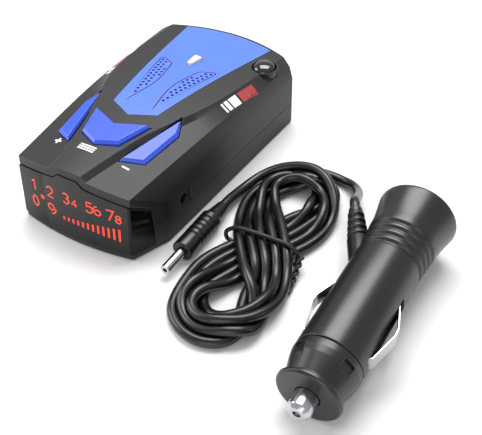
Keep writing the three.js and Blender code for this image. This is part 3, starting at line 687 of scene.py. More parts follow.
def swept(line: Sequence[Vector], radius: float, sides: int = 10) -> bmesh.types.BMesh:
    """A round tube along a line.

    Args:
        line: points in metres.
        radius: radius in millimetres.
        sides: number of facets round it.

    Returns:
        The closed tube.
    """
    bm = bmesh.new()
    rings = []
    aside = (line[1] - line[0]).orthogonal().normalized()
    for i, at in enumerate(line):
        along = (line[min(i + 1, len(line) - 1)] - line[max(i - 1, 0)]).normalized()
        aside = (aside - along * aside.dot(along)).normalized()
        across = along.cross(aside)
        turn = [2 * math.pi * k / sides for k in range(sides)]
        rings.append([
            bm.verts.new(at + (aside * math.cos(a) + across * math.sin(a)) * radius * MM) for a in turn
        ])
    for low, high in zip(rings, rings[1:]):
        for i in range(sides):
            j = (i + 1) % sides
            bm.faces.new([low[i], low[j], high[j], high[i]])
    bm.faces.new(rings[0][::-1])
    bm.faces.new(rings[-1])
    return bm


def arc(centre: Point2, radius: float, start: float, end: float, steps: int = 12) -> list[Point2]:
    """Points on a circle.

    Args:
        centre: middle of the circle.
        radius: its radius.
        start: first angle in degrees.
        end: last angle in degrees.
        steps: number of steps between them.

    Returns:
        The points.
    """
    angles = [math.radians(start + (end - start) * i / steps) for i in range(steps + 1)]
    return [(centre[0] + radius * math.cos(a), centre[1] + radius * math.sin(a)) for a in angles]


def smooth_line(points: Sequence[Sequence[float]], steps: int = 8) -> list[Vector]:
    """A smooth line through points.

    Args:
        points: points of any dimension.
        steps: number of steps between two of them.

    Returns:
        The line's points.
    """
    known = [Vector(p) for p in points]
    ends = [known[0] * 2 - known[1], *known, known[-1] * 2 - known[-2]]
    line = []
    for a, b, c, d in zip(ends, ends[1:], ends[2:], ends[3:]):
        for i in range(steps):
            t = i / steps
            line.append(
                (b * 2 + (c - a) * t + (a * 2 - b * 5 + c * 4 - d) * t**2 + (b * 3 - a - c * 3 + d) * t**3) / 2)
    return [*line, known[-1]]


class Surface:
    """The outside of CAD nodes, as something to lay marks on."""

    def __init__(self, *nodes: str) -> None:
        """Gather the nodes' faces.

        Args:
            nodes: names of the CAD nodes.
        """
        verts: list[Vector] = []
        faces: list[list[int]] = []
        for name in nodes:
            mesh = frame["nodes"][name].data
            faces += [[len(verts) + i for i in p.vertices] for p in mesh.polygons]
            verts += [v.co.copy() for v in mesh.vertices]
        self.tree = BVHTree.FromPolygons(verts, faces)

    def cast(self, start: Vector, way: Vector) -> Vector:
        """Where a ray first meets the surface.

        Args:
            start: its start, in metres.
            way: its direction.

        Returns:
            The point in metres.
        """
        hit = self.tree.ray_cast(start, way)[0]
        if hit is None:
            raise ValueError(f"no surface under {tuple(start)}")
        return hit

    def above(self, x: float, y: float, height: float) -> Vector:
        """A point over the top of the surface.

        Args:
            x: millimetres along X.
            y: millimetres along Y.
            height: millimetres over the surface.

        Returns:
            The point in metres.
        """
        hit = self.cast(Vector((x * MM, y * MM, 1.0)), Vector((0, 0, -1)))
        return Vector((x * MM, y * MM, hit.z + height * MM))

    def before(self, x: float, z: float, height: float) -> Vector:
        """A point in front of the surface, on the side that faces -Y.

        Args:
            x: millimetres along X.
            z: millimetres along Z.
            height: millimetres in front of the surface.

        Returns:
            The point in metres.
        """
        hit = self.cast(Vector((x * MM, -1.0, z * MM)), Vector((0, 1, 0)))
        return Vector((x * MM, hit.y - height * MM, z * MM))


# ------------------------------------------------------------------ studio


@dataclass
class Studio:
    """Camera, floor and soft lights.

    The camera stands at azimuth and elevation about aim, at a distance that gives its perspective.
    """

    azimuth: float = 31.5
    elevation: float = 42.7
    distance: float = 281.0
    roll: float = -1.19
    aim: tuple[float, float, float] = (43.0, -14.5, 0.0)
    lens: float = 60.0
    floor_size: float = 6000.0

    def camera(self) -> bpy.types.Object:
        """Place the camera.

        Returns:
            The camera object.
        """
        turn, rise = math.radians(self.azimuth), math.radians(self.elevation)
        back = Vector((math.sin(turn) * math.cos(rise), -math.cos(turn) * math.cos(rise), math.sin(rise)))
        data = bpy.data.cameras.new("camera")
        data.lens, data.sensor_width = self.lens, 36.0
        data.clip_start, data.clip_end = 0.01, 20.0
        obj = bpy.data.objects.new("camera", data)
        obj.rotation_mode = "QUATERNION"
        obj.location = (Vector(self.aim) + back * self.distance) * MM
        level = (-back).to_track_quat("-Z", "Y").to_matrix()
        obj.rotation_quaternion = (level @ Matrix.Rotation(math.radians(self.roll), 3, "Z")).to_quaternion()
        bpy.context.scene.collection.objects.link(obj)
        bpy.context.scene.camera = obj
        return obj

    def floor(self) -> bpy.types.Object:
        """Lay the pale floor.

        Returns:
            The floor object.
        """
        half = self.floor_size / 2 * MM
        mesh = bpy.data.meshes.new("floor")
        corners = [(-half, -half, 0), (half, -half, 0), (half, half, 0), (-half, half, 0)]
        mesh.from_pydata(corners, [], [(0, 1, 2, 3)])
        obj = bpy.data.objects.new("floor", mesh)
        bpy.context.scene.collection.objects.link(obj)
        paper = Finish("backdrop_paper_white", "#F1F1EF", 0.9, variation=0.01, grain_mm=2.0, relief_mm=0.01)
        mesh.materials.append(paper.material())
        return obj

    def softbox(self, name: str, spot: tuple[float, float, float], size: Point2, power: float) -> None:
        """Hang a soft light that faces the object.

        Args:
            name: the light's name.
            spot: its place, in millimetres.
            size: its width and height, in millimetres.
            power: its power in watts.
        """
        data = bpy.data.lights.new(name, "AREA")
        data.shape = "RECTANGLE"
        data.size, data.size_y = size[0] * MM, size[1] * MM
        data.energy = power
        obj = bpy.data.objects.new(name, data)
        obj.location = Vector(spot) * MM
        obj.rotation_mode = "QUATERNION"
        obj.rotation_quaternion = (Vector(self.aim) * MM - obj.location).to_track_quat("-Z", "Y")
        bpy.context.scene.collection.objects.link(obj)

    def light(self) -> None:
        """Hang the lights and set the pale surroundings."""
        self.softbox("overhead", (-60, 240, 620), (520, 360), 4.8)
        self.softbox("window_left", (-620, -180, 360), (420, 420), 2.6)
        self.softbox("front_fill", (240, -720, 260), (500, 260), 1.1)
        world = bpy.data.worlds.new("white_room")
        bpy.context.scene.world = world
        world.use_nodes = True
        world.node_tree.nodes["Background"].inputs["Color"].default_value = linear("#F4F5F7")
        world.node_tree.nodes["Background"].inputs["Strength"].default_value = 0.6
        bpy.context.scene.view_settings.view_transform = "Standard"


# ------------------------------------------------------------------ lead


@dataclass
class PlugFrame:
    """Where the plug lies: its axis from the record's joint, its tip from the CAD node."""

    tip_node: str = "plug_tip"
    joint: str = "tip_press"

    def matrix(self) -> Matrix:
        """Frame whose Z axis runs from the plug's tip to its switch.

        Returns:
            The frame, in metres.
        """
        axis = Vector(next(j["axis"] for j in frame["joints"] if j["name"] == self.joint)).normalized()
        corners = [v.co for v in frame["nodes"][self.tip_node].data.vertices]
        front = min(c.dot(axis) for c in corners)
        face = [c for c in corners if c.dot(axis) < front + 0.02 * MM]
        low = Vector([min(c[k] for c in face) for k in range(3)])
        high = Vector([max(c[k] for c in face) for k in range(3)])
        side = Vector((1, 0, 0))
        turn = Matrix((side, axis.cross(side), axis)).transposed().to_4x4()
        return Matrix.Translation((low + high) / 2) @ turn


@dataclass
class Plug:
    """The 12 V plug: nose, body with its grip rings, contacts, cap and boot."""

    radius: float = 10.5
    seam: float = 19.0
    end: float = 84.5
    flare: float = 13.2
    flange: float = 10.0
    bore: float = 6.6
    gap: float = 0.3
    ring_start: float = 60.0
    ring_pitch: float = 2.8
    rings: int = 4
    groove: float = 0.7
    tip: float = 3.6
    collar: float = 4.6
    cap: float = 9.2
    cap_proud: float = 3.6
    strip_width: float = 5.2
    strip_thick: float = 0.5
    boot_length: float = 22.0
    boot_lean: float = 0.49
    boot_at: float = 58.0
    slot_size: tuple[float, float, float] = (4.0, 6.4, 25.0)
    slot_at: float = 35.0
    window_size: tuple[float, float, float] = (3.0, 4.2, 3.4)
    window_at: float = 15.2
    facets: int = 72

    def __post_init__(self) -> None:
        """Work out the frame."""
        self.place = PlugFrame().matrix()
        self.foot = Vector((2 - self.radius, 0.0, self.boot_at))
        self.boot_axis = Vector((-math.sin(self.boot_lean), 0.0, math.cos(self.boot_lean)))

    def at_boot(self, distance: float) -> Vector:
        """A point on the boot's axis.

        Args:
            distance: millimetres from its foot.

        Returns:
            The point in metres, in the row frame.
        """
        return self.place @ ((self.foot + self.boot_axis * distance) * MM)

    def slot_cutter(self, side: int) -> bmesh.types.BMesh:
        """The long recess that a side contact springs out of.

        Args:
            side: 1 for the right contact, -1 for the left one.

        Returns:
            The shape to cut away.
        """
        bm = bmesh.new()
        size = Matrix.Diagonal((*(Vector(self.slot_size) * MM), 1.0))
        spot = Matrix.Translation(Vector((side * (self.radius + 0.4), 0.0, self.slot_at)) * MM)
        bmesh.ops.create_cube(bm, size=1.0, matrix=self.place @ spot @ size)
        return bm

    def body(self) -> bpy.types.Object:
        """Body with four grip rings and a concave flare.

        Returns:
            The piece.
        """
        rings: list[tuple[float, ...]] = []
        for i in range(self.rings):
            at, r = self.ring_start + self.ring_pitch * i, self.radius + 0.2 * i
            rings += [(r, at - 1.0, 0.35), (r - self.groove, at - 0.3, 0.25),
                      (r - self.groove, at + 0.3, 0.25), (r + 0.1, at + 1.0, 0.35)]
        start, last = self.ring_start + self.ring_pitch * self.rings, self.end - 1.6
        flare = []
        for i in range(9):
            share = i / 8
            r = self.radius + 0.9 + (self.flare - self.radius - 0.9) * share**1.5
            flare.append((r, start + (last - start) * share))
        mouth = self.cap + self.gap
        profile = [
            (self.bore, self.seam + self.gap), (self.radius, self.seam + self.gap, 0.4),
            (self.radius, self.boot_at), *rings, *flare, (self.flare, self.end - 0.9, 0.5),
            (self.flare - 0.7, self.end, 0.5), (mouth, self.end, 0.4), (mouth, self.end - 6.0),
            (self.bore, self.end - 6.0), (self.bore, self.seam + self.gap),
        ]
        shape = turned(profile, self.facets, self.place)
        for side in (1, -1):
            shape = cut(shape, self.slot_cutter(side))
        return mesh_piece("plug_body_shell", shape, PLUG, "lead", ["plug_body"], 32.0)

    def nose(self) -> bpy.types.Object:
        """Screw-on nose with its flange and small windows.

        Returns:
            The piece.
        """
        hole, neck = self.tip + self.gap, self.collar + self.gap
        profile = [
            (hole, 6.4), (self.flange - 0.5, 6.4, 0.4), (self.flange, 7.0, 0.3), (self.flange, 7.8, 0.3),
            (self.flange - 1.4, 8.3, 0.4), (self.radius - 2.0, 9.0, 0.4), (self.radius - 0.4, 14.6, 1.5),
            (self.radius, self.seam - 2.2, 0.8), (self.radius, self.seam, 0.3), (neck, self.seam), (neck, 8.6),
            (hole, 8.6), (hole, 6.4),
        ]
        shape = turned(profile, self.facets, self.place)
        for i in range(4):
            cutter = bmesh.new()
            turn = Matrix.Rotation(math.radians(45 + 90 * i), 4, "Z")
            spot = Matrix.Translation(Vector((self.radius + 0.6, 0.0, self.window_at)) * MM)
            size = Matrix.Diagonal((*(Vector(self.window_size) * MM), 1.0))
            bmesh.ops.create_cube(cutter, size=1.0, matrix=self.place @ turn @ spot @ size)
            shape = cut(shape, cutter)
        return mesh_piece("plug_nose_cap", shape, PLUG, "lead", ["plug_nose"], 32.0)

    def contact(self, side: int) -> bpy.types.Object:
        """One side contact: a strip bent twice.

        Args:
            side: 1 for the right contact, -1 for the left one.

        Returns:
            The piece.
        """
        bend = filleted(
            [(9.6, 23.6), (10.9, 24.4, 0.8), (13.3, 34.6, 2.0), (13.1, 37.4, 2.0), (10.4, 44.6, 0.8), (9.6, 46.0)])
        bm = bmesh.new()
        rows = []
        half = self.strip_width / 2
        for r, z in bend:
            rows.append([
                bm.verts.new(self.place @ (Vector((side * (r - depth), y, z)) * MM))
                for depth, y in ((0.0, -half), (0.0, half), (self.strip_thick, half), (self.strip_thick, -half))
            ])
        for low, high in zip(rows, rows[1:]):
            for i in range(4):
                j = (i + 1) % 4
                bm.faces.new([low[i], low[j], high[j], high[i]])
        bm.faces.new(rows[0])
        bm.faces.new(rows[-1])
        word = "right" if side > 0 else "left"
        piece = mesh_piece(
            f"plug_contact_{word}", bm, NICKEL, "lead", [f"side_contact_{word}"], 50.0)
        soften(piece, 0.12, 50.0, 0.0)
        return piece

    def pin(self) -> bpy.types.Object:
        """Sprung centre tip with a drilled end.

        Returns:
            The piece.
        """
        profile = [
            (0.0, 1.6), (1.1, 1.4), (1.2, 0.1, 0.15), (2.6, 0.1, 0.4), (self.tip, 1.3, 0.5), (self.tip, 8.9),
            (self.collar, 8.9, 0.3), (self.collar, 10.1, 0.3), (0.0, 10.1),
        ]
        return mesh_piece(
            "plug_pin", turned(profile, 56, self.place), NICKEL, "tip", ["plug_tip"], 32.0)

    def switch_cap(self) -> bpy.types.Object:
        """Red cap of the plug's switch, slightly domed.

        Returns:
            The piece.
        """
        low, high = self.end - 3.4, self.end + self.cap_proud
        profile = [
            (0.0, low), (self.cap, low, 0.2), (self.cap, high - 1.3, 1.1), (self.cap * 0.72, high - 0.1, 3.0),
            (0.0, high),
        ]
        return mesh_piece(
            "plug_switch_cap", turned(profile, self.facets, self.place), RED, "switch_cap",
            ["switch_button"], 32.0)

    def boot(self) -> bpy.types.Object:
        """Ribbed, tapered strain relief at the plug's side.

        Returns:
            The piece.
        """
        profile: list[tuple[float, ...]] = [(0.0, -4.0), (3.6, -4.0), (3.6, 8.0, 0.8)]
        for i in range(4):
            at, r = 9.0 + 3.0 * i, 3.4 - 0.22 * i
            profile += [(r - 0.7, at - 0.2, 0.2), (r, at + 0.2, 0.3), (r, at + 1.5, 0.3), (r - 0.7, at + 1.9, 0.2)]
        profile += [(2.3, self.boot_length - 0.4, 0.3), (2.1, self.boot_length), (0.0, self.boot_length)]
        lean = Matrix.Rotation(-self.boot_lean, 4, "Y")
        place = self.place @ Matrix.Translation(self.foot * MM) @ lean
        return mesh_piece(
            "plug_strain_relief", turned(profile, 40, place), CORD, "lead", ["plug_boot"], 32.0)

    def build(self) -> list[bpy.types.Object]:
        """Make every piece of the plug.

        Returns:
            The pieces that lie on the lead.
        """
        for node in ("tip_spring", "fuse", "switch_module"):
            frame["nodes"][node].data.materials.clear()
        frame["nodes"]["tip_spring"].data.materials.append(STEEL.material())
        frame["nodes"]["fuse"].data.materials.append(GLASS.material())
        frame["nodes"]["switch_module"].data.materials.append(BLACK.material())
        made = [self.body(), self.nose(), self.pin(), self.contact(1), self.contact(-1), self.switch_cap()]
        made.append(self.boot())
        return made


def cut(shape: bmesh.types.BMesh, cutter: bmesh.types.BMesh) -> bmesh.types.BMesh:
    """Cut one closed shape out of another.

    Args:
        shape: what stays, freed here.
        cutter: what is taken away, freed here.

    Returns:
        The cut shape.
    """
    objects = []
    for bm in (shape, cutter):
        bmesh.ops.recalc_face_normals(bm, faces=bm.faces)
        mesh = bpy.data.meshes.new("spare")
        bm.to_mesh(mesh)
        bm.free()
        obj = bpy.data.objects.new("spare", mesh)
        bpy.context.scene.collection.objects.link(obj)
        objects.append(obj)
    step = objects[0].modifiers.new("cut", "BOOLEAN")
    step.operation, step.solver, step.object = "DIFFERENCE", "EXACT", objects[1]
    bpy.context.view_layer.update()
    result = bmesh.new()
    result.from_object(objects[0], bpy.context.evaluated_depsgraph_get())
    for obj in objects:
        mesh = obj.data
        bpy.data.objects.remove(obj)
        bpy.data.meshes.remove(mesh)
    return result


def settled(line: np.ndarray, loose: np.ndarray, gap: float, floor: float, rounds: int = 240) -> np.ndarray:
    """Let the turns of a hank settle on each other and on the floor.

    Args:
        line: points of the cord's middle, evenly spaced, in millimetres.
        loose: 1 for each point that may move, 0 for the others, with values between them at the joins.
        gap: least distance between the middles of two strands.
        floor: lowest height of the cord's middle.
        rounds: number of steps.

    Returns:
        The settled points.
    """
    push_share, stiffness, pull_share, sag = 0.12, 0.1, 0.05, 0.02
    line = line.copy()
    spacing = np.linalg.norm(np.diff(line, axis=0), axis=1)
    count = len(line)
    apart = np.abs(np.subtract.outer(np.arange(count), np.arange(count))) > 4.5 * gap / spacing.mean()
    share = loose[:, None]
    for _ in range(rounds):
        between = line[:, None, :] - line[None, :, :]
        distance = np.linalg.norm(between, axis=2) + 1e-9
        push = np.where(apart & (distance < gap), (gap - distance) / distance, 0.0)
        line += push_share * share * (between * push[..., None]).sum(axis=1)
        bend = line[:-2] + line[2:] - 2 * line[1:-1]
        line[2:-2] -= stiffness * share[2:-2] * (bend[:-2] + bend[2:] - 2 * bend[1:-1])
        step = np.diff(line, axis=0)
        length = np.linalg.norm(step, axis=1)
        pull = pull_share * step * ((length - spacing) / length)[:, None]
        line[:-1] += share[:-1] * pull
        line[1:] -= share[1:] * pull
        line[:, 2] = np.maximum(line[:, 2] - sag * loose, floor)
    return line


@dataclass
class PowerLead:
    """Cord from the plug's boot, wound into a tied figure of eight, to the small plug."""

    diameter: float = 3.5
    length: float = 1040.0
    centre: Point2 = (58.0, -26.0)
    turn: float = 0.06
    turns: int = 5
    reach: tuple[float, ...] = (42.2, 38.4, 41.2, 37.6, 40.0)
    width: tuple[float, ...] = (15.0, 11.6, 14.0, 11.2, 12.8)
    layer: tuple[float, ...] = (0.0, 0.0, 1.0, 1.0, 2.0)
    over_floor: float = 0.2
    points_a_turn: int = 72
    tie_thick: float = 1.5

    def hank_point(self, x: float, y: float, z: float) -> Vector:
        """A point given in the hank's own frame, whose Y axis runs along it.

        Args:
            x: millimetres across the hank.
            y: millimetres along it.
            z: height.

        Returns:
            The point in the row frame, in millimetres.
        """
        spot = Matrix.Rotation(self.turn, 3, "Z") @ Vector((x, y, z))
        return spot + Vector((*self.centre, 0.0))

    def free_stretch(self, plug: Plug) -> list[Vector]:
        """Route from the boot down to the hank's rear end.

        Args:
            plug: the plug that the cord leaves.

        Returns:
            The points in millimetres.
        """
        loop = self.hank_point(0.0, 27.0, 0.0)
        loop_x, loop_y, on_floor = loop.x, self.centre[1] + 27.0, self.diameter / 2 + self.over_floor
        return [
            plug.at_boot(plug.boot_length + 0.3) / MM,
            plug.at_boot(plug.boot_length + 4.0) / MM,
            Vector((loop_x + 20.8, loop_y + 4.5, 9.0)),
            Vector((loop_x + 19.6, loop_y + 12.0, 4.5)),
            Vector((loop_x + 15.0, loop_y + 18.0, on_floor)),
            Vector((loop_x + 8.6, loop_y + 19.6, on_floor)),
            Vector((loop_x + 2.6, loop_y + 19.2, on_floor)),
        ]

    def wound(self) -> list[Vector]:
        """The figure-of-eight turns, each with its own size and layer.

        Returns:
            The points in millimetres.
        """
        knots = [k + part for k in range(self.turns) for part in (0.25, 0.75)]
        per_turn = {
            key: np.repeat(values, 2) for key, values in (
                ("reach", self.reach), ("width", self.width), ("layer", self.layer),
                ("place", [k - (self.turns - 1) / 2 for k in range(self.turns)]))
        }
        pitch = self.diameter + 0.1
        low = self.diameter / 2 + self.over_floor
        points = []
        first, last = int(0.07 * self.points_a_turn), int((self.turns + 0.02) * self.points_a_turn)
        for i in range(first, last):
            t = i / self.points_a_turn
            reach, width, layer, place = (
                float(np.interp(t, knots, per_turn[key])) for key in ("reach", "width", "layer", "place"))
            angle = 2 * math.pi * t
            waist = math.sin(angle) ** 4
            upper = 1.0 if math.sin(angle) > 0 else 0.0
            height = low + pitch * (layer * (1 - waist) + upper * waist)
            x = -width * math.sin(2 * angle) * (0.86 + 0.14 * abs(math.cos(angle))) + place * pitch * waist
            points.append(self.hank_point(x, reach * math.cos(angle), height))
        return points

    def tail(self) -> list[Vector]:
        """Route from the hank's rear loop to the small plug.

        Returns:
            The points in millimetres.
        """
        low, high = (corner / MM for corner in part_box("dc_plug_grip"))
        x, y, z = (low.x + high.x) / 2, high.y + 0.3, (low.z + high.z) / 2
        loop = self.hank_point(0.0, 27.0, 0.0)
        loop_x, loop_y, on_floor = loop.x, self.centre[1] + 27.0, self.diameter / 2 + self.over_floor
        return [
            Vector((loop_x - 14.2, loop_y + 9.0, on_floor + 3.2)),
            Vector((loop_x - 19.1, loop_y, on_floor)),
            Vector((x + 0.3, loop_y - 5.0, on_floor + 0.4)),
            Vector((x, y + 5.0, z - 0.25)),
            Vector((x, y, z)),
        ]

    def route(self, plug: Plug) -> np.ndarray:
        """The cord's middle from end to end, settled.

        Args:
            plug: the plug that the cord leaves.

        Returns:
            Evenly spaced points in millimetres.
        """
        free, wound, tail = self.free_stretch(plug), self.wound(), self.tail()
        rough = [*smooth_line(free, 6)[:-1], *smooth_line([free[-1], *wound, *tail], 3)]
        line = np.array([tuple(p) for p in rough])
        run = np.concatenate([[0.0], np.cumsum(np.linalg.norm(np.diff(line, axis=0), axis=1))])
        even = np.linspace(0.0, run[-1], int(run[-1] / 2.4))
        line = np.column_stack([np.interp(even, run, line[:, k]) for k in range(3)])
        for _ in range(14):
            line[3:-3] += 0.3 * (line[2:-4] + line[4:-2] - 2 * line[3:-3])
        start = float(np.linalg.norm(np.diff(np.array([tuple(p) for p in free]), axis=0), axis=1).sum())
        end = run[-1] - 45.0
        loose = np.clip((even - start + 12.0) / 24.0, 0.0, 1.0) * np.clip((end - even) / 20.0, 0.0, 1.0)
        return settled(line, loose, self.diameter + 0.12, self.diameter / 2 + self.over_floor)

    def cord(self, plug: Plug) -> tuple[bpy.types.Object, np.ndarray]:
        """The cord itself, as a bevelled curve.

        Args:
            plug: the plug that the cord leaves.

        Returns:
            The piece, and its middle line in millimetres.
        """
        line = self.route(plug)
        fine = smooth_line([tuple(p) for p in line], 2)
        data = bpy.data.curves.new("lead_cord", "CURVE")
        data.dimensions = "3D"
        spline = data.splines.new("POLY")
        spline.points.add(len(fine) - 1)
        for point, at in zip(spline.points, fine):
            point.co = (*(at * MM), 1.0)
        spline.use_smooth = True
        data.bevel_depth = self.diameter / 2 * MM
        data.bevel_resolution = 3
        data.use_fill_caps = True
        obj = bpy.data.objects.new("lead_cord", data)
        link_piece(obj, CORD, "lead", ["power_cord", "cord_hank", "cord_tail"])
        return obj, line

    def tie(self, line: np.ndarray) -> bpy.types.Object:
        """Twist tie round the waist, with its two ends twisted together and hanging.

        Args:
            line: the cord's middle in millimetres.

        Returns:
            The piece.
        """
        centre = Vector((*self.centre, 0.0))
        across = Matrix.Rotation(self.turn, 3, "Z") @ Vector((1, 0, 0))
        local = [(Vector(p) - centre) for p in line]
        bundle = [(v.dot(across), v.z) for v in local if abs((v - across * v.dot(across)).y) < 4.0]
        bundle = [p for p in bundle if abs(p[0]) < 14.0]
        out = self.diameter / 2 + self.tie_thick / 2 + 0.1
        ring = []
        for i in range(49):
            angle = math.radians(-60 + 360 * i / 48)
            way = (math.cos(angle), math.sin(angle))
            far = max(bundle, key=lambda p: p[0] * way[0] + p[1] * way[1])
            height = max(far[1] + out * way[1], self.tie_thick / 2 + 0.06)
            ring.append(centre + across * (far[0] + out * way[0]) + Vector((0, 0.35 * math.sin(angle), height)))
        shapes = [swept([p * MM for p in ring], self.tie_thick / 2)]
        knot = max(ring, key=lambda p: (p - centre).dot(across))
        for phase in (0.0, math.pi):
            tail = []
            for i in range(33):
                t = i / 32
                drop = knot + Vector((2.0 * t + 1.2, -13.0 * t, 0.0))
                drop.z = max(knot.z * (1 - t) ** 1.4 + 0.4, 1.2)
                spin = phase + 5 * math.pi * t
                tail.append((drop + Vector((0.62 * math.cos(spin), 0.0, 0.62 * math.sin(spin)))) * MM)
            shapes.append(swept(tail, self.tie_thick * 0.36, 8))
        return mesh_piece("lead_twist_tie", merged(shapes), BLACK, "lead", ["cord_tie"], 60.0)

    def small_plug(self) -> list[bpy.types.Object]:
        """Grip and barrel of the plug that goes into the detector.

        Returns:
            The two pieces.
        """
        low, high = (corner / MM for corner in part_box("dc_plug_grip"))
        spot = Vector(((low.x + high.x) / 2, high.y, (low.z + high.z) / 2)) * MM
        place = Matrix.Translation(spot) @ Matrix.Rotation(math.pi / 2, 4, "X")
        radius, end = (high.x - low.x) / 2, high.y - low.y
        grip: list[tuple[float, ...]] = [(0.0, 0.0), (2.1, 0.0, 0.2), (2.9, 6.0, 1.0), (radius, 7.5, 0.6)]
        for i in range(5):
            at = 10.0 + 2.2 * i
            grip += [(radius, at - 0.5, 0.2), (radius - 0.45, at, 0.2), (radius, at + 0.5, 0.2)]
        grip += [(radius, end, 0.5), (0.0, end)]
        reach = (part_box("dc_plug_barrel")[1].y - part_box("dc_plug_barrel")[0].y) / MM
        start = end + 0.3
        barrel = [
            (0.0, start), (1.75, start), (1.75, start + reach, 0.15), (0.8, start + reach, 0.1), (0.8, start + 2.0),
            (0.0, start + 2.0),
        ]
        return [
            mesh_piece("small_plug_grip", turned(grip, 48, place), CORD, "lead", ["dc_plug_grip"], 32.0),
            mesh_piece(
                "small_plug_barrel", turned(barrel, 40, place), NICKEL, "lead", ["dc_plug_barrel"],
                32.0),
        ]

    def build(self, plug: Plug, on_it: list[bpy.types.Object]) -> None:
        """Args:
            plug: the plug that the cord leaves.
            on_it: the plug's pieces.
        """
        obj, line = self.cord(plug)
        pieces = [*on_it, self.tie(line), *self.small_plug()]


# ------------------------------------------------------------------ detector


@dataclass
class Casing:
    """The two shells, their screws, the rear window, the socket and the grip pad."""

    rounding: float = 0.5
    print_height: float = 0.03
    print_sink: float = 0.08

    def dress(self) -> None:
        """Round and finish the nodes of the casing."""
        for node, finish, width in (
            ("top_shell", CASING, self.rounding), ("bottom_shell", CASING, self.rounding),
            ("windscreen_laser_window", DOME, 0.25), ("dc_jack", BLACK, 0.2), ("dc_jack_pin", NICKEL, 0.15),
            ("grip_pad", RUBBER, 0.3), *((f"case_screw_{i}", STEEL, 0.15) for i in range(1, 5)),
        ):
            dress_node(node, finish, width)

    def mark(self, name: str, loops: Sequence[Loop], finish: Finish) -> bpy.types.Object:
        """A printed mark on the top.

        Args:
            name: name of the piece.
            loops: its outlines in millimetres.
            finish: the ink.

        Returns:
            The piece.
        """
        shape = draped(loops, self.skin.above, self.print_height, -self.print_sink, 1.2)
        return mesh_piece(name, shape, finish, "detector")

    def strip(self, start: Point2, end: Point2, left: float, right: float) -> list[Point2]:
        """A band between two points, as an outline.

        Args:
            start: first point of its middle line.
            end: last point of its middle line.
            left: how far it reaches to the left of the line.
            right: how far it reaches to the right of it.

        Returns:
            The four corners.
        """
        along = (Vector(end) - Vector(start)).normalized()
        side = Vector((along.y, -along.x))
        corners = [Vector(start) - side * left, Vector(start) + side * right,
                   Vector(end) + side * right, Vector(end) - side * left]
        return [(c.x, c.y) for c in corners]

    def shoulder_print(self, name: str, start: Point2, end: Point2, half: float, parts: Sequence[tuple]) -> None:
        """A row of white blocks and a red bar along a shoulder.

        Args:
            name: beginning of the pieces' names.
            start: first point of the row's middle line.
            end: last point of it.
            half: half the row's width.
            parts: (kind, from, to) along the row, from 0 to 1, where kind is block or bar.
        """
        a, b = Vector(start), Vector(end)
        white: list[Loop] = []
        for kind, low, high in parts:
            p, q = a.lerp(b, low), a.lerp(b, high)
            if kind == "bar":
                self.mark(f"{name}_bar", [self.strip(p, q, half, half)], RED_INK)
            else:
                white.append(self.strip(p, q, half, half))
        self.mark(f"{name}_blocks", white, WHITE_INK)

    def prints(self) -> None:
        """Print the key symbols and the shoulder marks."""
        self.skin = Surface("top_shell")
        plus = [(-0.35, -1.3), (0.35, -1.3), (0.35, -0.35), (1.3, -0.35), (1.3, 0.35), (0.35, 0.35), (0.35, 1.3),
                (-0.35, 1.3), (-0.35, 0.35), (-1.3, 0.35), (-1.3, -0.35), (-0.35, -0.35)]
        for name, (x, y), loops in (
            ("up", (-14.6, -37.2), [plus]),
            ("menu", (-1.0, -38.2), [[(-3.2, d - 0.3), (3.2, d - 0.3), (3.2, d + 0.3), (-3.2, d + 0.3)]
                                     for d in (-1.0, 0.0, 1.0)]),
            ("down", (14.0, -37.8), [[(-1.4, -0.35), (1.4, -0.35), (1.4, 0.35), (-1.4, 0.35)]]),
        ):
            placed = [[(x + px, y + py) for px, py in loop] for loop in loops]
            self.mark(f"legend_{name}", placed, WHITE_INK)
        self.shoulder_print(
            "right_print", (25.0, 5.0), (27.2, 22.8), 1.6,
            [("block", 0.0, 0.05), ("block", 0.09, 0.19), ("block", 0.23, 0.46), ("bar", 0.52, 1.0)])
        self.shoulder_print(
            "left_print", (-25.1, 3.6), (-26.9, 23.8), 1.1,
            [("block", 0.0, 0.05), ("block", 0.09, 0.2), ("bar", 0.25, 0.75), ("block", 0.8, 0.91),
             ("block", 0.95, 1.0)])

    def build(self) -> None:
        """Finish the casing and print on it."""
        self.dress()
        self.prints()


def dress_node(node: str, finish: Finish, width: float, flat: float = 1.0) -> None:
    """Give a CAD node its material and rounded edges.

    Args:
        node: name of the node.
        finish: what it is made of.
        width: width of the rounding in millimetres, or 0 to leave its edges.
        flat: angle in degrees below which its triangles are joined, or 0 to leave them.
    """
    obj = frame["nodes"][node]
    obj.data.materials.clear()
    obj.data.materials.append(finish.material())
    if width:
        soften(obj, width, flat=flat)
    else:
        obj.data.shade_smooth()
        obj.data.set_sharp_from_angle(angle=math.radians(35))


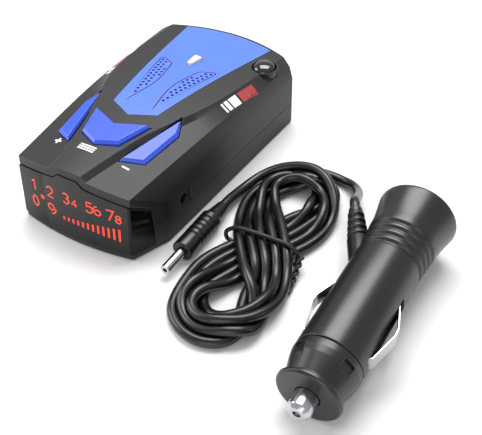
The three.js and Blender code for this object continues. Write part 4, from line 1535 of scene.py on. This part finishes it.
@dataclass
class SpeakerPanel:
    """Blue panel over the loudspeaker, with two grilles in engraved outlines, and the light."""

    thick: float = 1.55
    corner: Point2 = (9.4, -12.7)
    rear_half: float = 19.2
    rear_radius: float = 60.0
    hole: float = 1.35
    pitch: float = 2.2
    groove: float = 0.55
    groove_depth: float = 0.4
    grille_tip: Point2 = (5.9, -11.2)
    grille_outer: Point2 = (12.5, 21.8)
    grille_inner: Point2 = (6.0, 18.6)
    grille_belly: Point2 = (3.5, 4.5)
    light_gap: float = 0.3

    def fit(self) -> None:
        """Find the smooth skin that the CAD panel's own top lies on."""
        skin = Surface("speaker_panel")
        low, high = (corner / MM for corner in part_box("speaker_panel"))
        rows, heights = [], []
        for i in range(1, 40):
            for j in range(1, 60):
                x = low.x + (high.x - low.x) * i / 40
                y = low.y + (high.y - low.y) * j / 60
                hit, normal, *_ = skin.tree.ray_cast(Vector((x * MM, y * MM, 1.0)), Vector((0, 0, -1)))
                if hit and normal.z > 0.95 and abs(x) < high.x - 1.0:
                    rows.append(self.terms(x, y))
                    heights.append(hit.z / MM)
        middle = np.median(heights)
        keep = np.abs(np.array(heights) - middle) < 4.0
        self.shape = np.linalg.lstsq(np.array(rows)[keep], np.array(heights)[keep], rcond=None)[0]

    @staticmethod
    def terms(x: float, y: float) -> list[float]:
        """Terms of the skin's height over a point, in millimetres."""
        u, v = x / 20, y / 50
        return [1.0, v, v**2, v**3, v**4, u**2, u**4, u**2 * v, u**2 * v**2]

    def lift(self, x: float, y: float, height: float) -> Vector:
        """A point over the skin.

        Args:
            x: millimetres along X.
            y: millimetres along Y.
            height: millimetres over the skin.

        Returns:
            The point in metres.
        """
        return Vector((x, y, float(np.dot(self.terms(x, y), self.shape)) + height)) * MM

    def outline(self) -> list[Point2]:
        """The panel's edge, with its nose, straight sides and bowed rear.

        Returns:
            The closed outline.
        """
        low, high = (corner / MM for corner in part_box("speaker_panel"))
        centre = (0.0, high.y - self.rear_radius)
        half = math.degrees(math.asin(self.rear_half / self.rear_radius))
        rear = arc(centre, self.rear_radius, 90 - half, 90 + half, 16)
        right = [(0.0, low.y), self.corner]
        return [*right, *rear, (-self.corner[0], self.corner[1])]

    def leaf(self, side: int, grow: float) -> list[Point2]:
        """Outline of a grille: straight outside, bellied inside, round at its outer rear corner.

        Args:
            side: 1 for the right grille, -1 for the left one.
            grow: how far the outline is moved out.

        Returns:
            The closed outline.
        """
        inner = smooth_line([self.grille_inner, self.grille_belly, self.grille_tip], 8)
        rear = filleted([self.grille_tip, (*self.grille_outer, 1.4), self.grille_inner], 6)
        ring = [*rear[:-1], *[(p.x, p.y) for p in inner[:-1]]]
        grown = []
        for i, here in enumerate(ring):
            before, after = Vector(ring[i - 1]), Vector(ring[(i + 1) % len(ring)])
            on, to = (Vector(here) - before).normalized(), (after - Vector(here)).normalized()
            reach = grow / max(1 + on.dot(to), 0.35)
            grown.append((side * (here[0] + (on.y + to.y) * reach), here[1] - (on.x + to.x) * reach))
        return grown

    def holes(self, side: int) -> list[list[Point2]]:
        """Sound holes in staggered lines along the grille's outer edge.

        Args:
            side: 1 for the right grille, -1 for the left one.

        Returns:
            One outline for each hole.
        """
        edge = Vector(self.grille_outer) - Vector(self.grille_tip)
        length = edge.length
        edge.normalize()
        room = self.leaf(1, -self.hole * 0.85)
        found = []
        for line in range(4):
            for step in range(int(length / self.pitch) + 1):
                run = (step + (line % 2) / 2) * self.pitch
                across = self.hole * 0.92 + line * self.pitch * 0.78
                x = self.grille_tip[0] + edge.x * run - edge.y * across
                y = self.grille_tip[1] + edge.y * run + edge.x * across
                if inside([room], x, y):
                    found.append(arc((side * x, y), self.hole / 2, 0, 330, 11))
        return found

    def light_slot(self) -> list[Point2]:
        """Opening round the status light.

        Returns:
            The closed outline.
        """
        low, high = (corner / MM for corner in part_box("status_light"))
        gap = self.light_gap
        half = high.x + gap
        return [(-0.8 - gap, low.y - gap), (0.8 + gap, low.y - gap), (1.1 + gap, low.y + 0.8), (half, high.y + gap),
                (-half, high.y + gap), (-1.1 - gap, low.y + 0.8)]

    def build(self) -> None:
        """Make the panel and the floors of its grooves, and finish the light."""
        self.fit()
        sides = (1, -1)
        outer = [self.leaf(side, self.groove / 2) for side in sides]
        inner = [self.leaf(side, -self.groove / 2) for side in sides]
        holes = [hole for side in sides for hole in self.holes(side)]
        outlines = [self.outline(), *outer, *inner, *holes, self.light_slot()]
        shape = draped(outlines, self.lift, 0.0, -self.thick, 2.6)
        panel = mesh_piece("blue_speaker_panel", shape, PANEL, "detector", ["speaker_panel"], 35.0)
        soften(panel, 0.14, 50.0, 0.0)
        wide = [self.leaf(side, self.groove / 2 + 0.1) for side in sides]
        thin = [self.leaf(side, -self.groove / 2 - 0.1) for side in sides]
        # The groove floors are painted dark navy: painted shade in the engraved outlines.
        floors = merged(
            draped([a, b], self.lift, -self.groove_depth, 0.1 - self.thick, 2.6) for a, b in zip(wide, thin))
        mesh_piece("panel_groove_floors", floors, GROOVE_SHADE, "detector")
        dress_node("status_light", IVORY, 0.22)


@dataclass
class Keys:
    """The three keys and what is under them."""

    rounding: float = 0.28

    def build(self) -> None:
        """Finish the keys, their switches and their board."""
        for word in ("up", "menu", "down"):
            dress_node(f"button_{word}", KEY, self.rounding)
            dress_node(f"tact_switch_{word}", BLACK, 0.1)
        dress_node("key_board", BOARD, 0.1)


@dataclass
class Display:
    """Smoked window and the lit characters that show through it."""

    stroke: float = 0.5
    proud: float = 0.03
    sink: float = 0.05
    height: float = 4.0
    bars: int = 12
    first_bar: float = -3.0
    last_bar: float = 18.9

    def digit(self, which: int) -> list[list[Point2]]:
        """Strokes of a digit in a box 0.6 wide and 1 high.

        Args:
            which: the digit.

        Returns:
            One line of points for each stroke.
        """
        upper = partial(arc, (0.3, 0.74), 0.26)
        lower = partial(arc, (0.3, 0.28), 0.28)
        return {
            0: [[(0.3 + 0.3 * x, 0.5 + 0.5 * y) for x, y in arc((0, 0), 1.0, 0, 360, 24)]],
            1: [[(0.08, 0.78), (0.36, 1.0), (0.36, 0.0)]],
            2: [[*arc((0.3, 0.71), 0.29, 165, -35), (0.02, 0.0), (0.6, 0.0)]],
            3: [upper(150, -75), lower(85, -150)],
            4: [[(0.46, 0.0), (0.46, 1.0), (0.0, 0.3), (0.62, 0.3)]],
            5: [[(0.55, 1.0), (0.1, 1.0), (0.05, 0.5), *arc((0.28, 0.32), 0.32, 125, -150)]],
            6: [[*arc((0.42, 0.42), 0.58, 105, 175), *arc((0.3, 0.3), 0.3, 180, 540, 20)]],
            7: [[(0.0, 1.0), (0.6, 1.0), (0.2, 0.0)]],
            8: [arc((0.3, 0.76), 0.24, 0, 360, 20), arc((0.3, 0.27), 0.28, 0, 360, 20)],
            9: [[*arc((0.18, 0.58), 0.58, -75, -5), *arc((0.3, 0.7), 0.3, 0, 360, 20)]],
        }[which]

    def ribbon(self, line: Sequence[Point2]) -> list[Point2]:
        """Outline of a stroke of the pen along a line.

        Args:
            line: the stroke's middle.

        Returns:
            The closed outline.
        """
        half = self.stroke / 2
        sides: tuple[list[Point2], list[Point2]] = ([], [])
        points = [Vector(p) for p in line]
        for i, here in enumerate(points):
            before, after = points[max(i - 1, 0)], points[min(i + 1, len(points) - 1)]
            on = (here - before).normalized() if i else (after - here).normalized()
            to = (after - here).normalized() if i + 1 < len(points) else on
            reach = half / max(1 + on.dot(to), 0.6)
            offset = Vector((-(on.y + to.y), on.x + to.x)) * reach
            sides[0].append(tuple(here + offset))
            sides[1].append(tuple(here - offset))
        return [*sides[0], *reversed(sides[1])]

    def star(self, x: float, z: float, radius: float) -> list[Point2]:
        """A five-pointed star.

        Args:
            x: its middle along X.
            z: its height.
            radius: distance to its points.

        Returns:
            The closed outline.
        """
        spots = []
        for i in range(10):
            angle = math.radians(90 + 36 * i)
            reach = radius if i % 2 == 0 else radius * 0.42
            spots.append((x + reach * math.cos(angle), z + reach * math.sin(angle)))
        return spots

    def characters(self) -> list[list[Point2]]:
        """All lit shapes, seen from the front.

        Returns:
            One outline for each, none crossing another.
        """
        placed = [
            (1, -17.2, 15.2, 1.0), (2, -9.6, 15.7, 1.0), (3, -2.6, 16.0, 1.0), (4, 1.2, 16.0, 0.72),
            (5, 6.9, 15.9, 1.0), (6, 10.2, 15.9, 0.86), (7, 14.6, 15.3, 1.0), (8, 17.9, 15.0, 0.72),
            (0, -17.6, 8.3, 1.0), (9, -9.9, 8.6, 1.0),
        ]
        shapes = [self.star(-12.3, 13.7, 1.25)]
        for which, x, z, share in placed:
            size = self.height * share
            for line in self.digit(which):
                shapes.append(self.ribbon([(x + size * px * 1.1, z + size * pz) for px, pz in line]))
        for i in range(self.bars):
            share = i / (self.bars - 1)
            x = self.first_bar + (self.last_bar - self.first_bar) * share
            low, high = 8.7 - 1.3 * share**2, 9.8 + 2.6 * share
            shapes.append([(x - 0.36, low), (x + 0.36, low), (x + 0.36, high), (x - 0.36, high)])
        return shapes

    def build(self) -> None:
        """Finish the window and lay the lit shapes on it."""
        dress_node("display_lens", WINDOW, 0.35)
        dress_node("display_module", CARRIER, 0.2)
        face = Surface("display_lens")
        lit = merged(
            draped([shape], face.before, self.proud, -self.sink, 0.8) for shape in self.characters())
        mesh_piece("display_characters", lit, GLOW, "detector")


@dataclass
class LaserDome:
    """Gloss dome in its raised ring."""

    proud: float = 2.2
    ring: float = 1.1
    gap: float = 0.3
    step: float = 0.6

    def build(self) -> None:
        """Turn the dome and its ring, and finish the sensor."""
        low, high = (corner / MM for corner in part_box("laser_dome"))
        radius, rim = (high.x - low.x) / 2, high.z - self.proud
        spot = Vector(((low.x + high.x) / 2, (low.y + high.y) / 2, 0.0)) * MM
        place = Matrix.Translation(spot)
        quarter = [(radius * math.cos(a), rim + self.proud * math.sin(a))
                   for a in (math.radians(90 * i / 14) for i in range(15))]
        profile = [(0.0, low.z), (radius, low.z), *quarter[:-1], (0.0, high.z)]
        mesh_piece("laser_dome_glossy", turned(profile, 64, place), DOME, "detector", ["laser_dome"])
        bottom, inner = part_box("dome_bezel")[0].z / MM, radius + self.gap
        outer = radius + self.ring
        ring = [
            (inner, bottom), (outer - self.step, bottom), (outer - self.step, rim + 0.15), (outer, rim + 0.2, 0.2),
            (outer - 0.15, rim + 0.75, 0.35), (inner + 0.1, rim + 0.6, 0.3), (inner, bottom),
        ]
        mesh_piece("laser_dome_ring", turned(ring, 64, place), BLACK, "detector", ["dome_bezel"])
        dress_node("dome_sensor", STEEL, 0.1)


@dataclass
class Innards:
    """Boards, horn and loudspeaker inside the casing."""

    def build(self) -> None:
        """Finish the pieces that show once the casing is open."""
        for node, finish, width in (
            ("circuit_board", BOARD, 0.1), ("horn_antenna", ZINC, 0.3), ("speaker_basket", STEEL, 0.0),
            ("speaker_cone", PAPER, 0.0), ("speaker_magnet", FERRITE, 0.0),
        ):
            dress_node(node, finish, width)


def main() -> None:
    """Build the scene, one sub-assembly after another."""
    logging.basicConfig(level=logging.INFO, format="%(name)s: %(message)s")
    studio = Studio()
    studio.camera()
    plug = Plug()
    PowerLead().build(plug, plug.build())
    for part in (Casing(), SpeakerPanel(), Keys(), Display(), LaserDome(), Innards()):
        part.build()
        LOG.info("built %s", type(part).__name__)
    studio.floor()
    studio.light()


if __name__ == "__main__":
    main()
